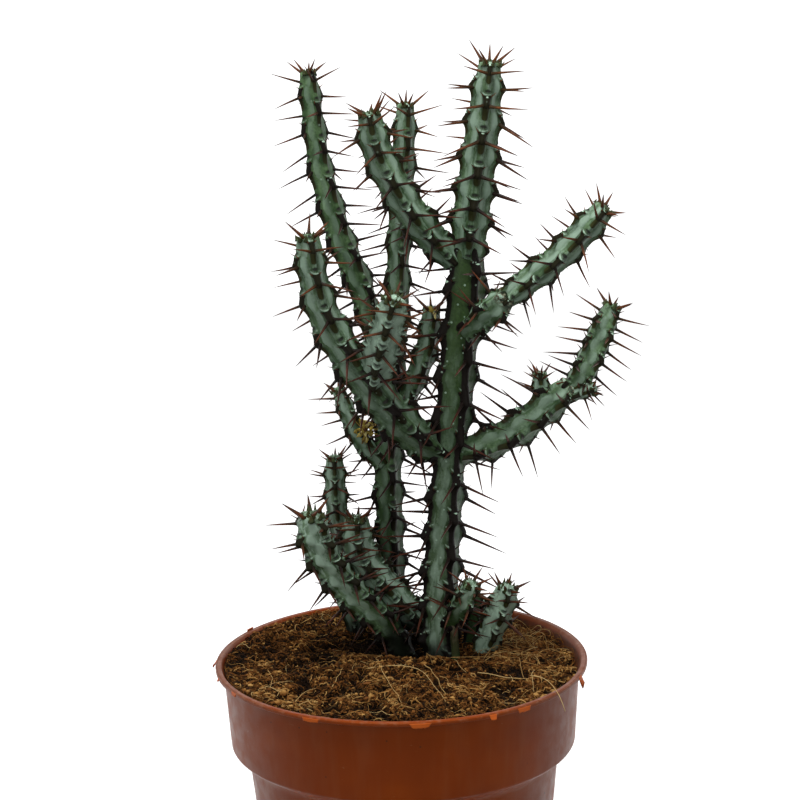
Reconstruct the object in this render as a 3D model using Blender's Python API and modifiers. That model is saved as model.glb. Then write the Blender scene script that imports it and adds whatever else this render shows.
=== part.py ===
"""A spiny four-ribbed euphorbia growing in coir in a moulded nursery pot.

Metres, +Z up. The origin is the middle of the pot's flat underside. The pot and the coir are turned.
Each stem is a loft of four-ribbed sections along its own route, with teeth that alternate on
neighbouring ribs.
"""

import math
from typing import NamedTuple

import bmesh
import bpy
import numpy as np

MM = 0.001

# The pot, in millimetres. Heights below the rim are negative.
POT_HEIGHT = 108.0
RIM_RADIUS = 60.0
LIP_INNER_RADIUS = 57.9
LIP_THICKNESS = 1.3
COLLAR_TOP_RADIUS = 57.4
COLLAR_BOTTOM_RADIUS = 55.8
COLLAR_HEIGHT = 27.5
STEP_HEIGHT = 4.0
BODY_TOP_RADIUS = 50.4
BASE_RADIUS = 43.0
BASE_ROUND = 1.5
WALL = 1.2
FLOOR = 1.6
TURNS = 48
HOLE_COUNT = 6
HOLE_RADIUS = 3.5
HOLE_CIRCLE = 27.0
HOLE_SIDES = 16
HOLE_CUT_DEPTH = 8.0

# The coir, in millimetres from the rim.
SEAT_GAP = 0.3
COIR_LEVEL = -1.7
COIR_RINGS = (8.0, 16.0, 24.0, 32.0, 40.0, 48.0)

# A stem's section: a rib, then two points in each hollow between ribs.
RIBS = 4
SECTION_POINTS = 12
HOLLOW_SHARE = 0.72
TOOTH_SHARE = 0.08
ROUTE_STEPS = 12
AXIS_STEP = 0.5
RING_SPACE = 0.8
CROWN = ((0.0, 0.42), (1.1, 0.78), (2.6, 0.96))


class Stem(NamedTuple):
    """One stem or shoot, with route points (x, y, height above the rim, radius over the ribs), base first.

    turn is the angle in degrees from the front to the first rib. pitch is the tooth spacing at crown and
    base. first is the distance from the crown to the first teeth. cut_by names what its base is fitted to.
    """

    name: str
    turn: float
    pitch: tuple
    first: float
    cut_by: tuple
    route: tuple


STEMS = (
    Stem("main_trunk", 27, (15, 11), 8, (), (
        (12.5, 12, -7, 6.0), (13, 12, 12, 6.5), (14, 12, 32, 6.4), (16, 12, 54, 6.1), (17.5, 12, 67, 5.4),
        (18.7, 12, 79, 6.5), (20.5, 12, 98, 6.6), (23, 12, 116, 6.6), (24, 12, 132, 6.2))),
    Stem("trunk_top_shoot", 0, (12, 9), 3, ("main_trunk",), (
        (24, 12, 128, 5.2), (24.6, 12, 138, 5.9), (26.2, 12, 148, 5.9), (28.6, 12, 165, 5.4),
        (30.8, 12, 181, 4.7), (31.6, 12, 189, 4.1))),
    Stem("rear_trunk", 20, (13, 12), 6, (), (
        (-3, 33, -7, 4.8), (-3, 32, 14, 4.9), (-3.2, 29, 42, 4.8), (-3, 27, 66, 4.9), (-0.5, 25, 96, 5.0))),
    Stem("rear_thin_shoot", 20, (12.5, 12.5), 3, ("rear_trunk",), (
        (0, 24.8, 93, 2.4), (0.7, 24.5, 100, 3.4), (1.1, 24.7, 108, 3.9), (1.9, 25.5, 129.5, 3.9), (3.5, 26, 149, 4.0),
        (5.3, 27, 176, 3.7))),
    Stem("tall_left_shoot", 36, (12.5, 12.5), 3, ("rear_trunk",), (
        (-2.5, 26, 85, 3.4), (-6.2, 26.5, 100, 4.2), (-11, 29, 118, 4.9), (-16.8, 32, 132.3, 4.9),
        (-20.4, 34, 145.5, 4.6), (-23.5, 36, 158.5, 4.3), (-26.2, 39, 186.5, 3.8))),
    Stem("inner_left_shoot", 0, (11, 11), 3, ("main_trunk", "trunk_top_shoot"), (
        (20, 12, 127, 3.6), (13.3, 10.5, 134.2, 5.0), (6.2, 7.2, 143.6, 5.2), (0.2, 5.3, 154.2, 5.0),
        (-4.4, 4.5, 165, 4.8), (-6.2, 4, 175, 4.5))),
    Stem("left_branch", 18, (12, 13), 4, ("main_trunk",), (
        (14, 12, 65.5, 4.0), (7.4, 9, 70, 5.9), (-2, 4.6, 80.8, 6.3), (-12, 0, 95.5, 5.9),
        (-21, -3, 111.5, 5.3), (-24.7, -5, 125.4, 4.8), (-25.9, -6, 138.5, 4.4))),
    Stem("front_shoot", -4, (8, 7.5), 3, ("left_branch",), (
        (-7, 1, 89, 3.6), (-6, -3, 95.6, 5.4), (-4.2, -7, 102.6, 5.7), (-2.2, -11, 109.6, 5.3),
        (0.5, -15, 120, 4.5))),
    Stem("inner_shoot", 20, (10, 10), 3, ("rear_trunk",), (
        (-0.5, 25.5, 71, 2.6), (3.7, 23.8, 80.6, 3.4), (6.2, 21.8, 86.8, 3.8), (8.9, 20.4, 93.5, 4.0),
        (11, 19.4, 100.6, 3.9), (12.2, 18.5, 111.2, 3.5))),
    Stem("upper_right_stub", 45, (10, 10), 6, ("main_trunk",), (
        (22.8, 8, 106.8, 4.0), (28, 2, 110.8, 5.2), (32.4, -1.5, 114.7, 5.2), (36.2, -4, 118.5, 4.6))),
    Stem("upper_right_shoot", 5, (11, 10), 3, ("upper_right_stub",), (
        (35, -3, 117, 3.6), (41.7, -5, 122.9, 5.0), (51.4, -8, 130.8, 5.2), (60.5, -10, 140.7, 5.2),
        (64.9, -11, 145.6, 4.9))),
    Stem("lower_right_branch", 20, (12, 11), 6, ("main_trunk",), (
        (20, 12, 65.4, 4.2), (26.5, 13, 66.3, 5.8), (37.3, 15.2, 70.3, 6.0), (48.4, 17.5, 77.7, 5.9),
        (57.4, 19, 84.8, 5.2))),
    Stem("lower_right_shoot", 36, (9, 8), 3, ("lower_right_branch",), (
        (57.6, 19, 84, 3.8), (61.2, 19.5, 88.8, 4.9), (65.2, 21, 97, 4.9), (68.8, 22, 105.3, 4.7),
        (71.2, 22.5, 110, 4.2))),
    Stem("side_bud", 10, (6, 6), 2, ("lower_right_branch", "lower_right_shoot"), (
        (58, 18.5, 83.2, 2.2), (60.8, 15.6, 83.8, 3.2), (64.4, 14.2, 84.4, 3.4))),
    Stem("branch_bud", 0, (6, 6), 2, ("lower_right_branch",), (
        (47.5, 18, 79, 2.0), (47.3, 19, 84.4, 2.9), (46.9, 20, 88.8, 3.0))),
    Stem("flowering_shoot", 45, (9, 9), 3, ("rear_trunk",), (
        (-3.5, 27, 58, 2.6), (-8.5, 23.5, 62.5, 3.4), (-13.4, 20.5, 70, 3.6), (-18.8, 20, 85.2, 3.3))),
    Stem("left_upright_stem", 0, (8, 10), 3, (), (
        (-15.5, 36, -7, 3.6), (-17.5, 32, 18, 4.2), (-20.5, 29, 40, 4.3), (-21, 28, 60.5, 4.2))),
    Stem("low_left_stem", 45, (8.5, 9), 4, (), (
        (2, 15.8, -7, 4.4), (-5.4, 12, 7.9, 5.2), (-15.6, 8.4, 18.7, 5.9), (-23.8, 5.6, 31, 6.3),
        (-27.5, 4, 40.4, 6.4), (-28.5, 3, 47.8, 6.1))),
    Stem("low_inner_stem", 4, (8, 9), 3, ("main_trunk",), (
        (11, 14, 3.5, 3.8), (5, 18.5, 7, 4.8), (-3, 19.4, 16, 5.3), (-10, 19, 24.5, 5.5),
        (-13.7, 19, 33, 5.3), (-13.8, 19, 42, 4.9))),
    Stem("low_right_stem", 12, (8, 9), 3, (), (
        (25.8, 14.5, -7, 3.8), (28.6, 13, 0.7, 4.3), (32.3, 11, 10.8, 4.8), (35, 9, 20, 4.7))),
    Stem("stub_shoot", 45, (7, 7), 2, ("main_trunk",), (
        (14.4, 9.5, 7.5, 3.2), (18.4, 4, 14.2, 4.2), (21.2, 1.5, 19.6, 4.1), (23.2, 0, 24.2, 3.6))),
    Stem("dry_stalk", 45, (8, 8), 2, ("stub_shoot",), (
        (17.6, 6, -7, 1.5), (17.4, 5.5, 1, 1.6), (17, 5, 12, 1.5))),
    Stem("old_stub", 30, (7, 8), 2, (), (
        (22.6, 23, -7, 3.0), (24.6, 23, 4, 3.5), (26.5, 22.5, 12.5, 3.4))),
)
IN_COIR = (
    "main_trunk", "rear_trunk", "left_upright_stem", "low_left_stem", "low_inner_stem", "low_right_stem",
    "dry_stalk", "old_stub",
)

DRY_FLOWERS_PLACE = (-10.6, 18.0, 73.0)
DRY_FLOWERS_SIZE = (3.3, 2.6, 2.9)
DRY_FLOWERS_SEAT = "flowering_shoot"

SKINS = {
    "grey_green": (0.16, 0.24, 0.18),
    "old_green": (0.06, 0.12, 0.06),
    "dry_brown": (0.17, 0.13, 0.07),
}
OLD_STEMS = ("main_trunk", "rear_trunk", "left_branch", "lower_right_branch", "low_left_stem")
DRY_STEMS = ("dry_stalk",)


def new_collection(name):
    collection = bpy.data.collections.new(name)
    bpy.context.scene.collection.children.link(collection)
    return collection


def material(name, colour, roughness):
    made = bpy.data.materials.new(name)
    made.use_nodes = True
    shader = made.node_tree.nodes["Principled BSDF"]
    shader.inputs["Base Color"].default_value = (*colour, 1.0)
    shader.inputs["Roughness"].default_value = roughness
    shader.inputs["Metallic"].default_value = 0.0
    return made


def add_object(name, mesh, collection):
    obj = bpy.data.objects.new(name, mesh)
    collection.objects.link(obj)
    return obj


def as_cutter(obj):
    obj.hide_render = True
    obj.display_type = "WIRE"


def cut(obj, cutter):
    modifier = obj.modifiers.new(f"fit to {cutter.name}", "BOOLEAN")
    modifier.operation = "DIFFERENCE"
    modifier.solver = "EXACT"
    modifier.object = cutter


def turned(name, profile, collection):
    """A profile of (radius, height) points in millimetres, from the axis and back to it, turned about Z."""
    mesh = bpy.data.meshes.new(name)
    points = [(radius * MM, 0.0, height * MM) for radius, height in profile]
    mesh.from_pydata(points, [(i, i + 1) for i in range(len(points) - 1)], [])
    obj = add_object(name, mesh, collection)
    screw = obj.modifiers.new("turn", "SCREW")
    screw.axis = "Z"
    screw.steps = TURNS
    screw.render_steps = TURNS
    screw.use_merge_vertices = True
    screw.merge_threshold = 0.00001
    screw.use_smooth_shade = True
    return obj


def smooth_route(route):
    """A smooth curve through the route's points, crown first, and the distance along it from the crown."""
    points = np.array(route[::-1], float)
    padded = np.vstack([2 * points[0] - points[1], points, 2 * points[-1] - points[-2]])
    share = np.arange(ROUTE_STEPS)[:, None] / ROUTE_STEPS
    pieces = []
    for before, start, end, after in zip(padded, padded[1:], padded[2:], padded[3:]):
        bend = 2 * before - 5 * start + 4 * end - after
        turn_back = 3 * (start - end) + after - before
        pieces.append(start + 0.5 * share * (end - before + share * (bend + share * turn_back)))
    line = np.vstack(pieces + [points[-1:]])
    steps = np.linalg.norm(np.diff(line[:, :3], axis=0), axis=1)
    return line, np.concatenate([[0.0], np.cumsum(steps)])


def tooth_stations(stem, length):
    """Distances from the crown at which teeth stand, on one pair of ribs, then on the other."""
    stations = [stem.first]
    while stations[-1] < length + stem.pitch[1]:
        along = min(stations[-1] / length, 1.0)
        pitch = stem.pitch[0] + (stem.pitch[1] - stem.pitch[0]) * along
        stations.append(stations[-1] + pitch / 2)
    return np.array(stations)


def stem_axes(ahead, behind):
    """The stem's direction between two points of its route, its front and its side, all at right angles."""
    along = (ahead - behind) / np.linalg.norm(ahead - behind)
    front = np.array([0.0, -1.0, 0.0])
    front = front - along * front.dot(along)
    front /= np.linalg.norm(front)
    return along, front, np.cross(along, front)


def section(stem, centre, axes, radius, phase, swell):
    """One ring of a four-ribbed stem. phase counts half pitches: a rib is a tooth on every other one."""
    _, front, side = axes
    ring = []
    for point in range(SECTION_POINTS):
        angle = math.radians(stem.turn) + math.tau * point / SECTION_POINTS
        rib, in_hollow = divmod(point, SECTION_POINTS // RIBS)
        tooth = math.cos(math.pi * (phase + rib))
        reach = HOLLOW_SHARE if in_hollow else 1.0 + TOOTH_SHARE * tooth
        out = front * math.cos(angle) + side * math.sin(angle)
        ring.append(centre + out * (radius * reach + swell))
    return ring


def stem_sections(stem, swell):
    """Rings of points along the stem, crown first, each a four-ribbed section grown by swell."""
    line, distance = smooth_route(stem.route)
    length = distance[-1]
    teeth = tooth_stations(stem, length)
    phases = np.arange(len(teeth), dtype=float)
    between = teeth[(teeth > CROWN[-1][0] + RING_SPACE) & (teeth < length - RING_SPACE)]
    stations = np.concatenate([[at for at, _ in CROWN], between, [length]])
    shares = np.concatenate([[share for _, share in CROWN], np.ones(len(between) + 1)])

    def route_at(at):
        return np.array([np.interp(at, distance, column) for column in line.T])

    rings = []
    for at, share in zip(stations, shares):
        *centre, radius = route_at(at)
        axes = stem_axes(route_at(at - AXIS_STEP)[:3], route_at(at + AXIS_STEP)[:3])
        past_end = swell * (float(at == 0.0) - float(at == length))
        phase = np.interp(at, teeth, phases, left=2 * (at - stem.first) / stem.pitch[0])
        rings.append(section(stem, centre + axes[0] * past_end, axes, radius * share, phase, swell))
    return rings


def stem_mesh(stem, swell=0.0):
    """The loft over a stem's sections, closed by a flat face at each end.

    It is made of triangles, so that a swollen copy bends along the same edges and its clearance stays even.
    """
    mesh = bpy.data.meshes.new(stem.name)
    shape = bmesh.new()
    lift = np.array([0.0, 0.0, POT_HEIGHT])
    rings = [
        [shape.verts.new((point + lift) * MM) for point in ring]
        for ring in stem_sections(stem, swell)
    ]
    for upper, lower in zip(rings, rings[1:]):
        for i in range(SECTION_POINTS):
            j = (i + 1) % SECTION_POINTS
            shape.faces.new((upper[i], lower[i], lower[j]))
            shape.faces.new((upper[i], lower[j], upper[j]))
    shape.faces.new(rings[0])
    shape.faces.new(rings[-1][::-1])
    bmesh.ops.recalc_face_normals(shape, faces=shape.faces)
    shape.to_mesh(mesh)
    shape.free()
    return mesh


def pot_inner_profile(gap):
    """The pot's inside from the floor up to the lip, drawn in by a gap that a filling keeps to it."""
    floor = FLOOR - POT_HEIGHT + gap
    inward = WALL + gap
    return [
        (0.0, floor),
        (BASE_RADIUS - inward - BASE_ROUND, floor),
        (BASE_RADIUS - inward, floor + BASE_ROUND),
        (BODY_TOP_RADIUS - inward, -COLLAR_HEIGHT - STEP_HEIGHT),
        (COLLAR_BOTTOM_RADIUS - inward, -COLLAR_HEIGHT + WALL),
        (COLLAR_TOP_RADIUS - inward, -LIP_THICKNESS),
    ]


def make_pot(collection, cutters):
    profile = pot_inner_profile(0.0) + [
        (LIP_INNER_RADIUS, 0.0),
        (RIM_RADIUS - 0.3, 0.0),
        (RIM_RADIUS, -0.3),
        (RIM_RADIUS, -LIP_THICKNESS + 0.3),
        (COLLAR_TOP_RADIUS, -LIP_THICKNESS - 0.2),
        (COLLAR_BOTTOM_RADIUS, -COLLAR_HEIGHT + 0.8),
        (COLLAR_BOTTOM_RADIUS - 1.0, -COLLAR_HEIGHT),
        (BODY_TOP_RADIUS + 0.6, -COLLAR_HEIGHT - 0.6 * STEP_HEIGHT),
        (BODY_TOP_RADIUS, -COLLAR_HEIGHT - STEP_HEIGHT),
        (BASE_RADIUS, BASE_ROUND - POT_HEIGHT),
        (BASE_RADIUS - BASE_ROUND, -POT_HEIGHT),
        (0.0, -POT_HEIGHT),
    ]
    pot = turned("pot", [(radius, height + POT_HEIGHT) for radius, height in profile], collection)
    for i in range(HOLE_COUNT):
        angle = math.tau * i / HOLE_COUNT
        place = (HOLE_CIRCLE * MM * math.cos(angle), HOLE_CIRCLE * MM * math.sin(angle), 0.0)
        mesh = bpy.data.meshes.new(f"drain_hole_{i + 1}")
        shape = bmesh.new()
        bmesh.ops.create_cone(
            shape, cap_ends=True, segments=HOLE_SIDES,
            radius1=HOLE_RADIUS * MM, radius2=HOLE_RADIUS * MM, depth=HOLE_CUT_DEPTH * MM,
        )
        shape.to_mesh(mesh)
        shape.free()
        cutter = add_object(mesh.name, mesh, cutters)
        cutter.location = place
        as_cutter(cutter)
        cut(pot, cutter)
    pot.data.materials.append(material("moulded_terracotta_plastic", (0.11, 0.03, 0.012), 0.35))
    return pot


def coir_height(x, y):
    """Height of the coir's top from the rim: low at the right, hollow round the stems."""
    lean = -2.0 * max(0.0, min(1.0, (x + 0.35 * y) / 50.0))
    hollow = -2.6 * math.exp(-((x - 6.0) ** 2 + (y - 20.0) ** 2) / 260.0)
    mound = 1.4 * math.exp(-((x - 4.0) ** 2 + (y + 14.0) ** 2) / 700.0)
    lumps = 0.45 * math.sin(0.31 * x + 1.0) * math.cos(0.27 * y) + 0.3 * math.sin(0.55 * y + 0.4 * x)
    return COIR_LEVEL + lean + hollow + mound + lumps


def make_coir(collection, stem_cutters):
    wall = pot_inner_profile(SEAT_GAP)
    top_radius = wall[-1][0]
    profile = [(0.0, COIR_LEVEL)]
    profile += [(radius, COIR_LEVEL) for radius in COIR_RINGS]
    profile += [(top_radius, COIR_LEVEL)] + wall[-2::-1]
    turned_coir = turned("turned_coir", [(r, h + POT_HEIGHT) for r, h in profile], collection)
    graph = bpy.context.evaluated_depsgraph_get()
    mesh = bpy.data.meshes.new_from_object(turned_coir.evaluated_get(graph))
    mesh.name = "coir"
    bpy.data.objects.remove(turned_coir)
    for vertex in mesh.vertices:
        x, y, height = (value / MM for value in vertex.co)
        if abs(height - COIR_LEVEL - POT_HEIGHT) < 0.01:
            vertex.co.z = (coir_height(x, y) + POT_HEIGHT) * MM
    coir = add_object("coir", mesh, collection)
    for name in IN_COIR:
        cut(coir, stem_cutters[name])
    coir.data.materials.append(material("coir_fibre", (0.09, 0.05, 0.02), 0.95))
    return coir


def skin_of(stem):
    if stem.name in DRY_STEMS:
        return "dry_brown"
    return "old_green" if stem.name in OLD_STEMS else "grey_green"


def make_stems(collection, cutters):
    """The stems, each fitted to what it grows from, and a swollen copy of each that cuts its neighbours."""
    stem_cutters = {}
    made = {}
    for stem in STEMS:
        obj = add_object(stem.name, stem_mesh(stem), collection)
        obj.data.materials.append(material(f"{stem.name}_skin", SKINS[skin_of(stem)], 0.6))
        cutter = add_object(f"{stem.name}_clearance", stem_mesh(stem, SEAT_GAP), cutters)
        as_cutter(cutter)
        stem_cutters[stem.name] = cutter
        made[stem.name] = obj
    for stem in STEMS:
        for name in stem.cut_by:
            cut(made[stem.name], stem_cutters[name])
    return stem_cutters


def make_dry_flowers(collection, stem_cutters):
    mesh = bpy.data.meshes.new("dry_flowers")
    shape = bmesh.new()
    bmesh.ops.create_icosphere(shape, subdivisions=2, radius=1.0)
    for vertex in shape.verts:
        x, y, z = vertex.co
        knobs = 1.0 + 0.12 * math.sin(7 * x + 1) * math.sin(6 * y) * math.cos(5 * z)
        for axis in range(3):
            vertex.co[axis] *= knobs * DRY_FLOWERS_SIZE[axis] * MM
    shape.to_mesh(mesh)
    shape.free()
    flowers = add_object("dry_flowers", mesh, collection)
    x, y, height = DRY_FLOWERS_PLACE
    flowers.location = (x * MM, y * MM, (height + POT_HEIGHT) * MM)
    cut(flowers, stem_cutters[DRY_FLOWERS_SEAT])
    flowers.data.materials.append(material("dry_petals", (0.25, 0.2, 0.04), 0.8))


def clear_scene():
    for obj in list(bpy.data.objects):
        bpy.data.objects.remove(obj, do_unlink=True)


def main():
    clear_scene()
    plant = new_collection("potted_euphorbia")
    cutters = new_collection("cutters")
    make_pot(plant, cutters)
    stem_cutters = make_stems(plant, cutters)
    make_coir(plant, stem_cutters)
    make_dry_flowers(plant, stem_cutters)


main()
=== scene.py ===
"""A spiny four-ribbed euphorbia in coir in a moulded nursery pot: the finished surfaces.

Laid out as an add-on and run as a script. Lengths inside are millimetres unless a comment says otherwise,
and meshes are made in metres. The pot, the coir and every stem follow the packed frame.
"""

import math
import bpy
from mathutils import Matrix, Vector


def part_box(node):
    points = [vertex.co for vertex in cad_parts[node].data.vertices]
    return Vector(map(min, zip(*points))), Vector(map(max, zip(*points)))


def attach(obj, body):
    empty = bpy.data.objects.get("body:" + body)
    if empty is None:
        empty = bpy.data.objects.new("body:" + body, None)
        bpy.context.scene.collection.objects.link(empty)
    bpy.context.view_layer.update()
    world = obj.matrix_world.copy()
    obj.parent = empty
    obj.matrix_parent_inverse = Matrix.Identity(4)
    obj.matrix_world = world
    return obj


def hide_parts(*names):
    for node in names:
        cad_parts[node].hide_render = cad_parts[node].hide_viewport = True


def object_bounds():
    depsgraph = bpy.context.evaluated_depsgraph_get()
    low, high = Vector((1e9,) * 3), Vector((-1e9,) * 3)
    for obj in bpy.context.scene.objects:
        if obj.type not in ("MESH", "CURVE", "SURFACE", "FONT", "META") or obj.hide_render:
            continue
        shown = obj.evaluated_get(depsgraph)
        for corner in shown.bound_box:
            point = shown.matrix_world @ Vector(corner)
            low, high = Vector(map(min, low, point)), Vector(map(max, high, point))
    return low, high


bl_info = {
    "name": "Potted Spiny Euphorbia",
    "version": (1, 0, 0),
    "blender": (4, 5, 0),
    "location": "3D View > Sidebar > Euphorbia",
    "description": "Gives a packed potted euphorbia its stems' skin, spines, coir and moulded pot",
    "category": "Object",
}

from typing import NamedTuple

import bmesh
import bpy
import numpy as np
from bpy.props import FloatProperty, FloatVectorProperty, IntProperty, PointerProperty
from mathutils import Matrix, Vector

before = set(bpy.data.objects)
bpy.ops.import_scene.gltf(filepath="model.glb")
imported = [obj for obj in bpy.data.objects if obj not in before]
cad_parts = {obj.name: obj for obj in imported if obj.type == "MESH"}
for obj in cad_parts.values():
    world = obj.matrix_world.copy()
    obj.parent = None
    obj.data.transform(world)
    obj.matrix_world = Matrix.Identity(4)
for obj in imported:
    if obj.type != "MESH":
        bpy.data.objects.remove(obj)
CAD_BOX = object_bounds()

MM = 0.001
BODY = "root"


def node_box(node):
    """A node's lowest and highest corners, in millimetres."""
    return tuple(np.array(corner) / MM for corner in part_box(node))


POT_LOW, POT_HIGH = node_box("pot")
RIM_HEIGHT = POT_HIGH[2]
RIM_RADIUS = (POT_HIGH[0] - POT_LOW[0]) / 2
COIR_HIGH = node_box("coir")[1]

# ---------------------------------------------------------------- stems: what is known of each


class StemLook(NamedTuple):
    """How one stem's ribs and teeth run.

    turn is the angle in degrees from the front to the first rib. pitch is the tooth spacing at the crown
    and at the base, and first the distance from the crown to the first spines. age is 0 for new growth and
    1 for old wood, at the crown and at the base. bloom is how much pale wax its skin carries, at the crown
    and at the base, and above 1 the coat is thicker and paler. slot is the skin finish it takes. scar is
    the length of corky tissue at its crown, where another stem grows on. heading is the way from the base
    to the crown, roughly. slim thins the skin. spines is how long its spines are, as a share of the usual.
    """

    node: str
    turn: float
    pitch: tuple
    first: float
    age: tuple
    bloom: tuple
    slot: str = "young_stem"
    scar: float = 0.0
    heading: tuple = (0.0, 0.0, 1.0)
    slim: float = 1.0
    spines: float = 1.0


STEM_LOOKS = (
    # The main trunk's crown end has old wood's darker skin and little wax: painted shade under its branches.
    StemLook("main_trunk", 27, (15, 11), 8, (1.0, 0.8), (0.3, 0.95), "old_stem", spines=0.95),
    StemLook("trunk_top_shoot", 0, (12, 9), 3, (0.0, 0.35), (0.6, 0.5)),
    StemLook("rear_trunk", 20, (13, 12), 6, (0.5, 0.85), (0.35, 0.5), "old_stem", spines=0.85),
    StemLook("rear_thin_shoot", 20, (12.5, 12.5), 3, (0.0, 0.4), (0.45, 0.35), spines=0.9),
    StemLook("tall_left_shoot", 36, (12.5, 12.5), 3, (0.45, 0.6), (0.1, 0.15), spines=0.86),
    StemLook("inner_left_shoot", 0, (11, 11), 3, (0.1, 0.4), (0.5, 0.6), spines=0.8),
    StemLook("left_branch", 18, (12, 13), 4, (0.15, 0.8), (0.65, 0.5), "old_stem", spines=0.86),
    StemLook("front_shoot", -4, (8, 7.5), 3, (0.0, 0.2), (2.8, 2.5), spines=0.75),
    StemLook("inner_shoot", 20, (10, 10), 3, (0.15, 0.5), (0.6, 0.4), spines=0.9),
    StemLook("upper_right_stub", 45, (10, 10), 6, (0.4, 0.6), (0.6, 0.4), scar=3.0, spines=0.7),
    StemLook("upper_right_shoot", 5, (11, 10), 3, (0.0, 0.1), (0.6, 0.6), slim=0.86, spines=0.74),
    StemLook(
        "lower_right_branch", 20, (12, 11), 6, (0.35, 0.6), (0.5, 0.35), "old_stem", scar=2.0, spines=0.8
    ),
    StemLook("lower_right_shoot", 36, (9, 8), 3, (0.2, 0.35), (0.4, 0.3), spines=0.75),
    StemLook("side_bud", 10, (6, 6), 2, (0.0, 0.1), (0.7, 0.6), heading=(1.0, -0.3, 0.0), spines=0.6),
    StemLook("branch_bud", 0, (6, 6), 2, (0.0, 0.1), (0.7, 0.6), spines=0.6),
    StemLook("flowering_shoot", 45, (9, 9), 3, (0.1, 0.3), (0.7, 0.5), spines=0.7),
    StemLook("left_upright_stem", 0, (8, 10), 3, (0.1, 0.5), (0.85, 0.7), slim=0.84, spines=0.62),
    StemLook("low_left_stem", 45, (8.5, 9), 4, (0.0, 0.8), (1.2, 0.0), "old_stem", spines=0.68),
    StemLook("low_inner_stem", 4, (8, 9), 3, (0.0, 0.4), (1.1, 0.9), spines=0.62),
    StemLook("low_right_stem", 12, (8, 9), 3, (0.0, 0.3), (2.5, 2.7), spines=0.62),
    StemLook("stub_shoot", 45, (7, 7), 2, (0.1, 1.1), (0.9, 0.0), spines=0.65),
    StemLook("old_stub", 30, (7, 8), 2, (0.8, 1.0), (0.1, 0.1), "old_stem", spines=0.5),
)

# ---------------------------------------------------------------- settings a user would change


def colour(red, green, blue):
    """A linear colour from display values up to 255."""
    def linear(value):
        share = value / 255.0
        return share / 12.92 if share <= 0.04045 else ((share + 0.055) / 1.055) ** 2.4

    return (linear(red), linear(green), linear(blue), 1.0)


def shade_of(tone, share):
    """A colour made darker, or lighter up to white, by a share."""
    return tuple(min(1.0, part * share) for part in tone[:3]) + (1.0,)


def length_setting(name, description, default, low, high):
    """A length in metres."""
    return FloatProperty(
        name=name, description=description, default=default, min=low, max=high, unit="LENGTH"
    )


def count_setting(name, description, default, low, high):
    """A number of like things."""
    return IntProperty(name=name, description=description, default=default, min=low, max=high)


def share_setting(name, description, default, high):
    """A plain number from 0 up."""
    return FloatProperty(name=name, description=description, default=default, min=0.0, max=high)


def power_setting(name, description, default):
    """A light's power in watts."""
    return FloatProperty(name=name, description=description, default=default, min=0.0, unit="POWER")


def colour_setting(name, description, red, green, blue):
    """A colour given by its display values."""
    return FloatVectorProperty(
        name=name,
        description=description,
        default=colour(red, green, blue),
        size=4,
        min=0.0,
        max=1.0,
        subtype="COLOR",
    )


class PotSettings(bpy.types.PropertyGroup):
    """The moulded pot"""

    wall: length_setting("Wall", "Thickness of the moulded wall", 0.0012, 0.0006, 0.002)
    collar_height: length_setting("Collar Height", "Depth of the collar under the lip", 0.0275, 0.015, 0.04)
    lip_width: length_setting("Lip Width", "Width of the lip's flat top", 0.0018, 0.001, 0.003)
    plastic: colour_setting("Plastic", "The moulded plastic", 139, 57, 10)
    plastic_dark: colour_setting("Plastic Dark", "The plastic in its darker clouds", 122, 47, 11)
    plastic_bright: colour_setting("Flash", "The thin flash left on the lip", 206, 98, 38)
    plastic_dust: colour_setting("Dust", "Dust and rubbed places on the plastic", 176, 132, 106)


class CoirSettings(bpy.types.PropertyGroup):
    """The coir that fills the pot"""

    fibre_count: count_setting("Fibres", "Number of short fibres", 4900, 500, 7500)
    crumb_count: count_setting("Crumbs", "Number of loose crumbs", 7600, 100, 9500)
    crumb_size: length_setting("Crumb Size", "Usual radius of a loose crumb", 0.0004, 0.0003, 0.001)
    grit_count: count_setting("Grit", "Number of fine grains", 15000, 100, 24000)
    grit_size: length_setting("Grit Size", "Usual radius of a fine grain", 0.00025, 0.0001, 0.0003)
    fibre_length: length_setting("Fibre Length", "Usual length of a short fibre", 0.0034, 0.001, 0.01)
    dark: colour_setting("Dark", "Coir deep in its gaps", 16, 9, 4)
    middle: colour_setting("Middle", "Most of the coir", 116, 72, 32)
    light: colour_setting("Light", "The lightest short fibres", 182, 136, 74)
    straw: colour_setting("Straw", "Long loose fibres", 206, 174, 118)


class StemSettings(bpy.types.PropertyGroup):
    """The stems' skin"""

    tooth_height: length_setting("Tooth Height", "How far a tooth stands out of its rib", 0.0013, 0.0, 0.002)
    deep_green: colour_setting("Deep Green", "The darker green of the faces", 55, 84, 44)
    mid_green: colour_setting("Mid Green", "The lighter green of the faces", 97, 129, 84)
    bloom: colour_setting("Bloom", "The pale wax on young skin", 168, 196, 174)
    old_green: colour_setting("Old Green", "The skin of old wood", 55, 78, 38)
    horn: colour_setting("Horn", "The horny shield under the spines", 24, 20, 17)
    tongue: colour_setting("Tongue", "The strip below each shield", 58, 60, 32)
    scar: colour_setting("Scar", "Corky tissue at a joint", 122, 112, 92)


class SpineSettings(bpy.types.PropertyGroup):
    """The spines"""

    length: length_setting("Length", "Usual length of a long spine", 0.0142, 0.004, 0.02)
    thickness: length_setting("Thickness", "A long spine's diameter near its foot", 0.0013, 0.0004, 0.0016)
    foot: colour_setting("Foot", "An old spine's foot", 30, 22, 18)
    shaft: colour_setting("Shaft", "An old spine's shaft", 112, 59, 41)
    olive: colour_setting("Olive", "A young spine's foot", 84, 66, 34)
    amber: colour_setting("Amber", "A young spine's shaft", 178, 108, 62)
    scale: colour_setting("Scale", "The small leafy teeth at a crown", 58, 72, 40)
    tip: colour_setting("Tip", "Every spine's tip", 62, 50, 44)


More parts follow.
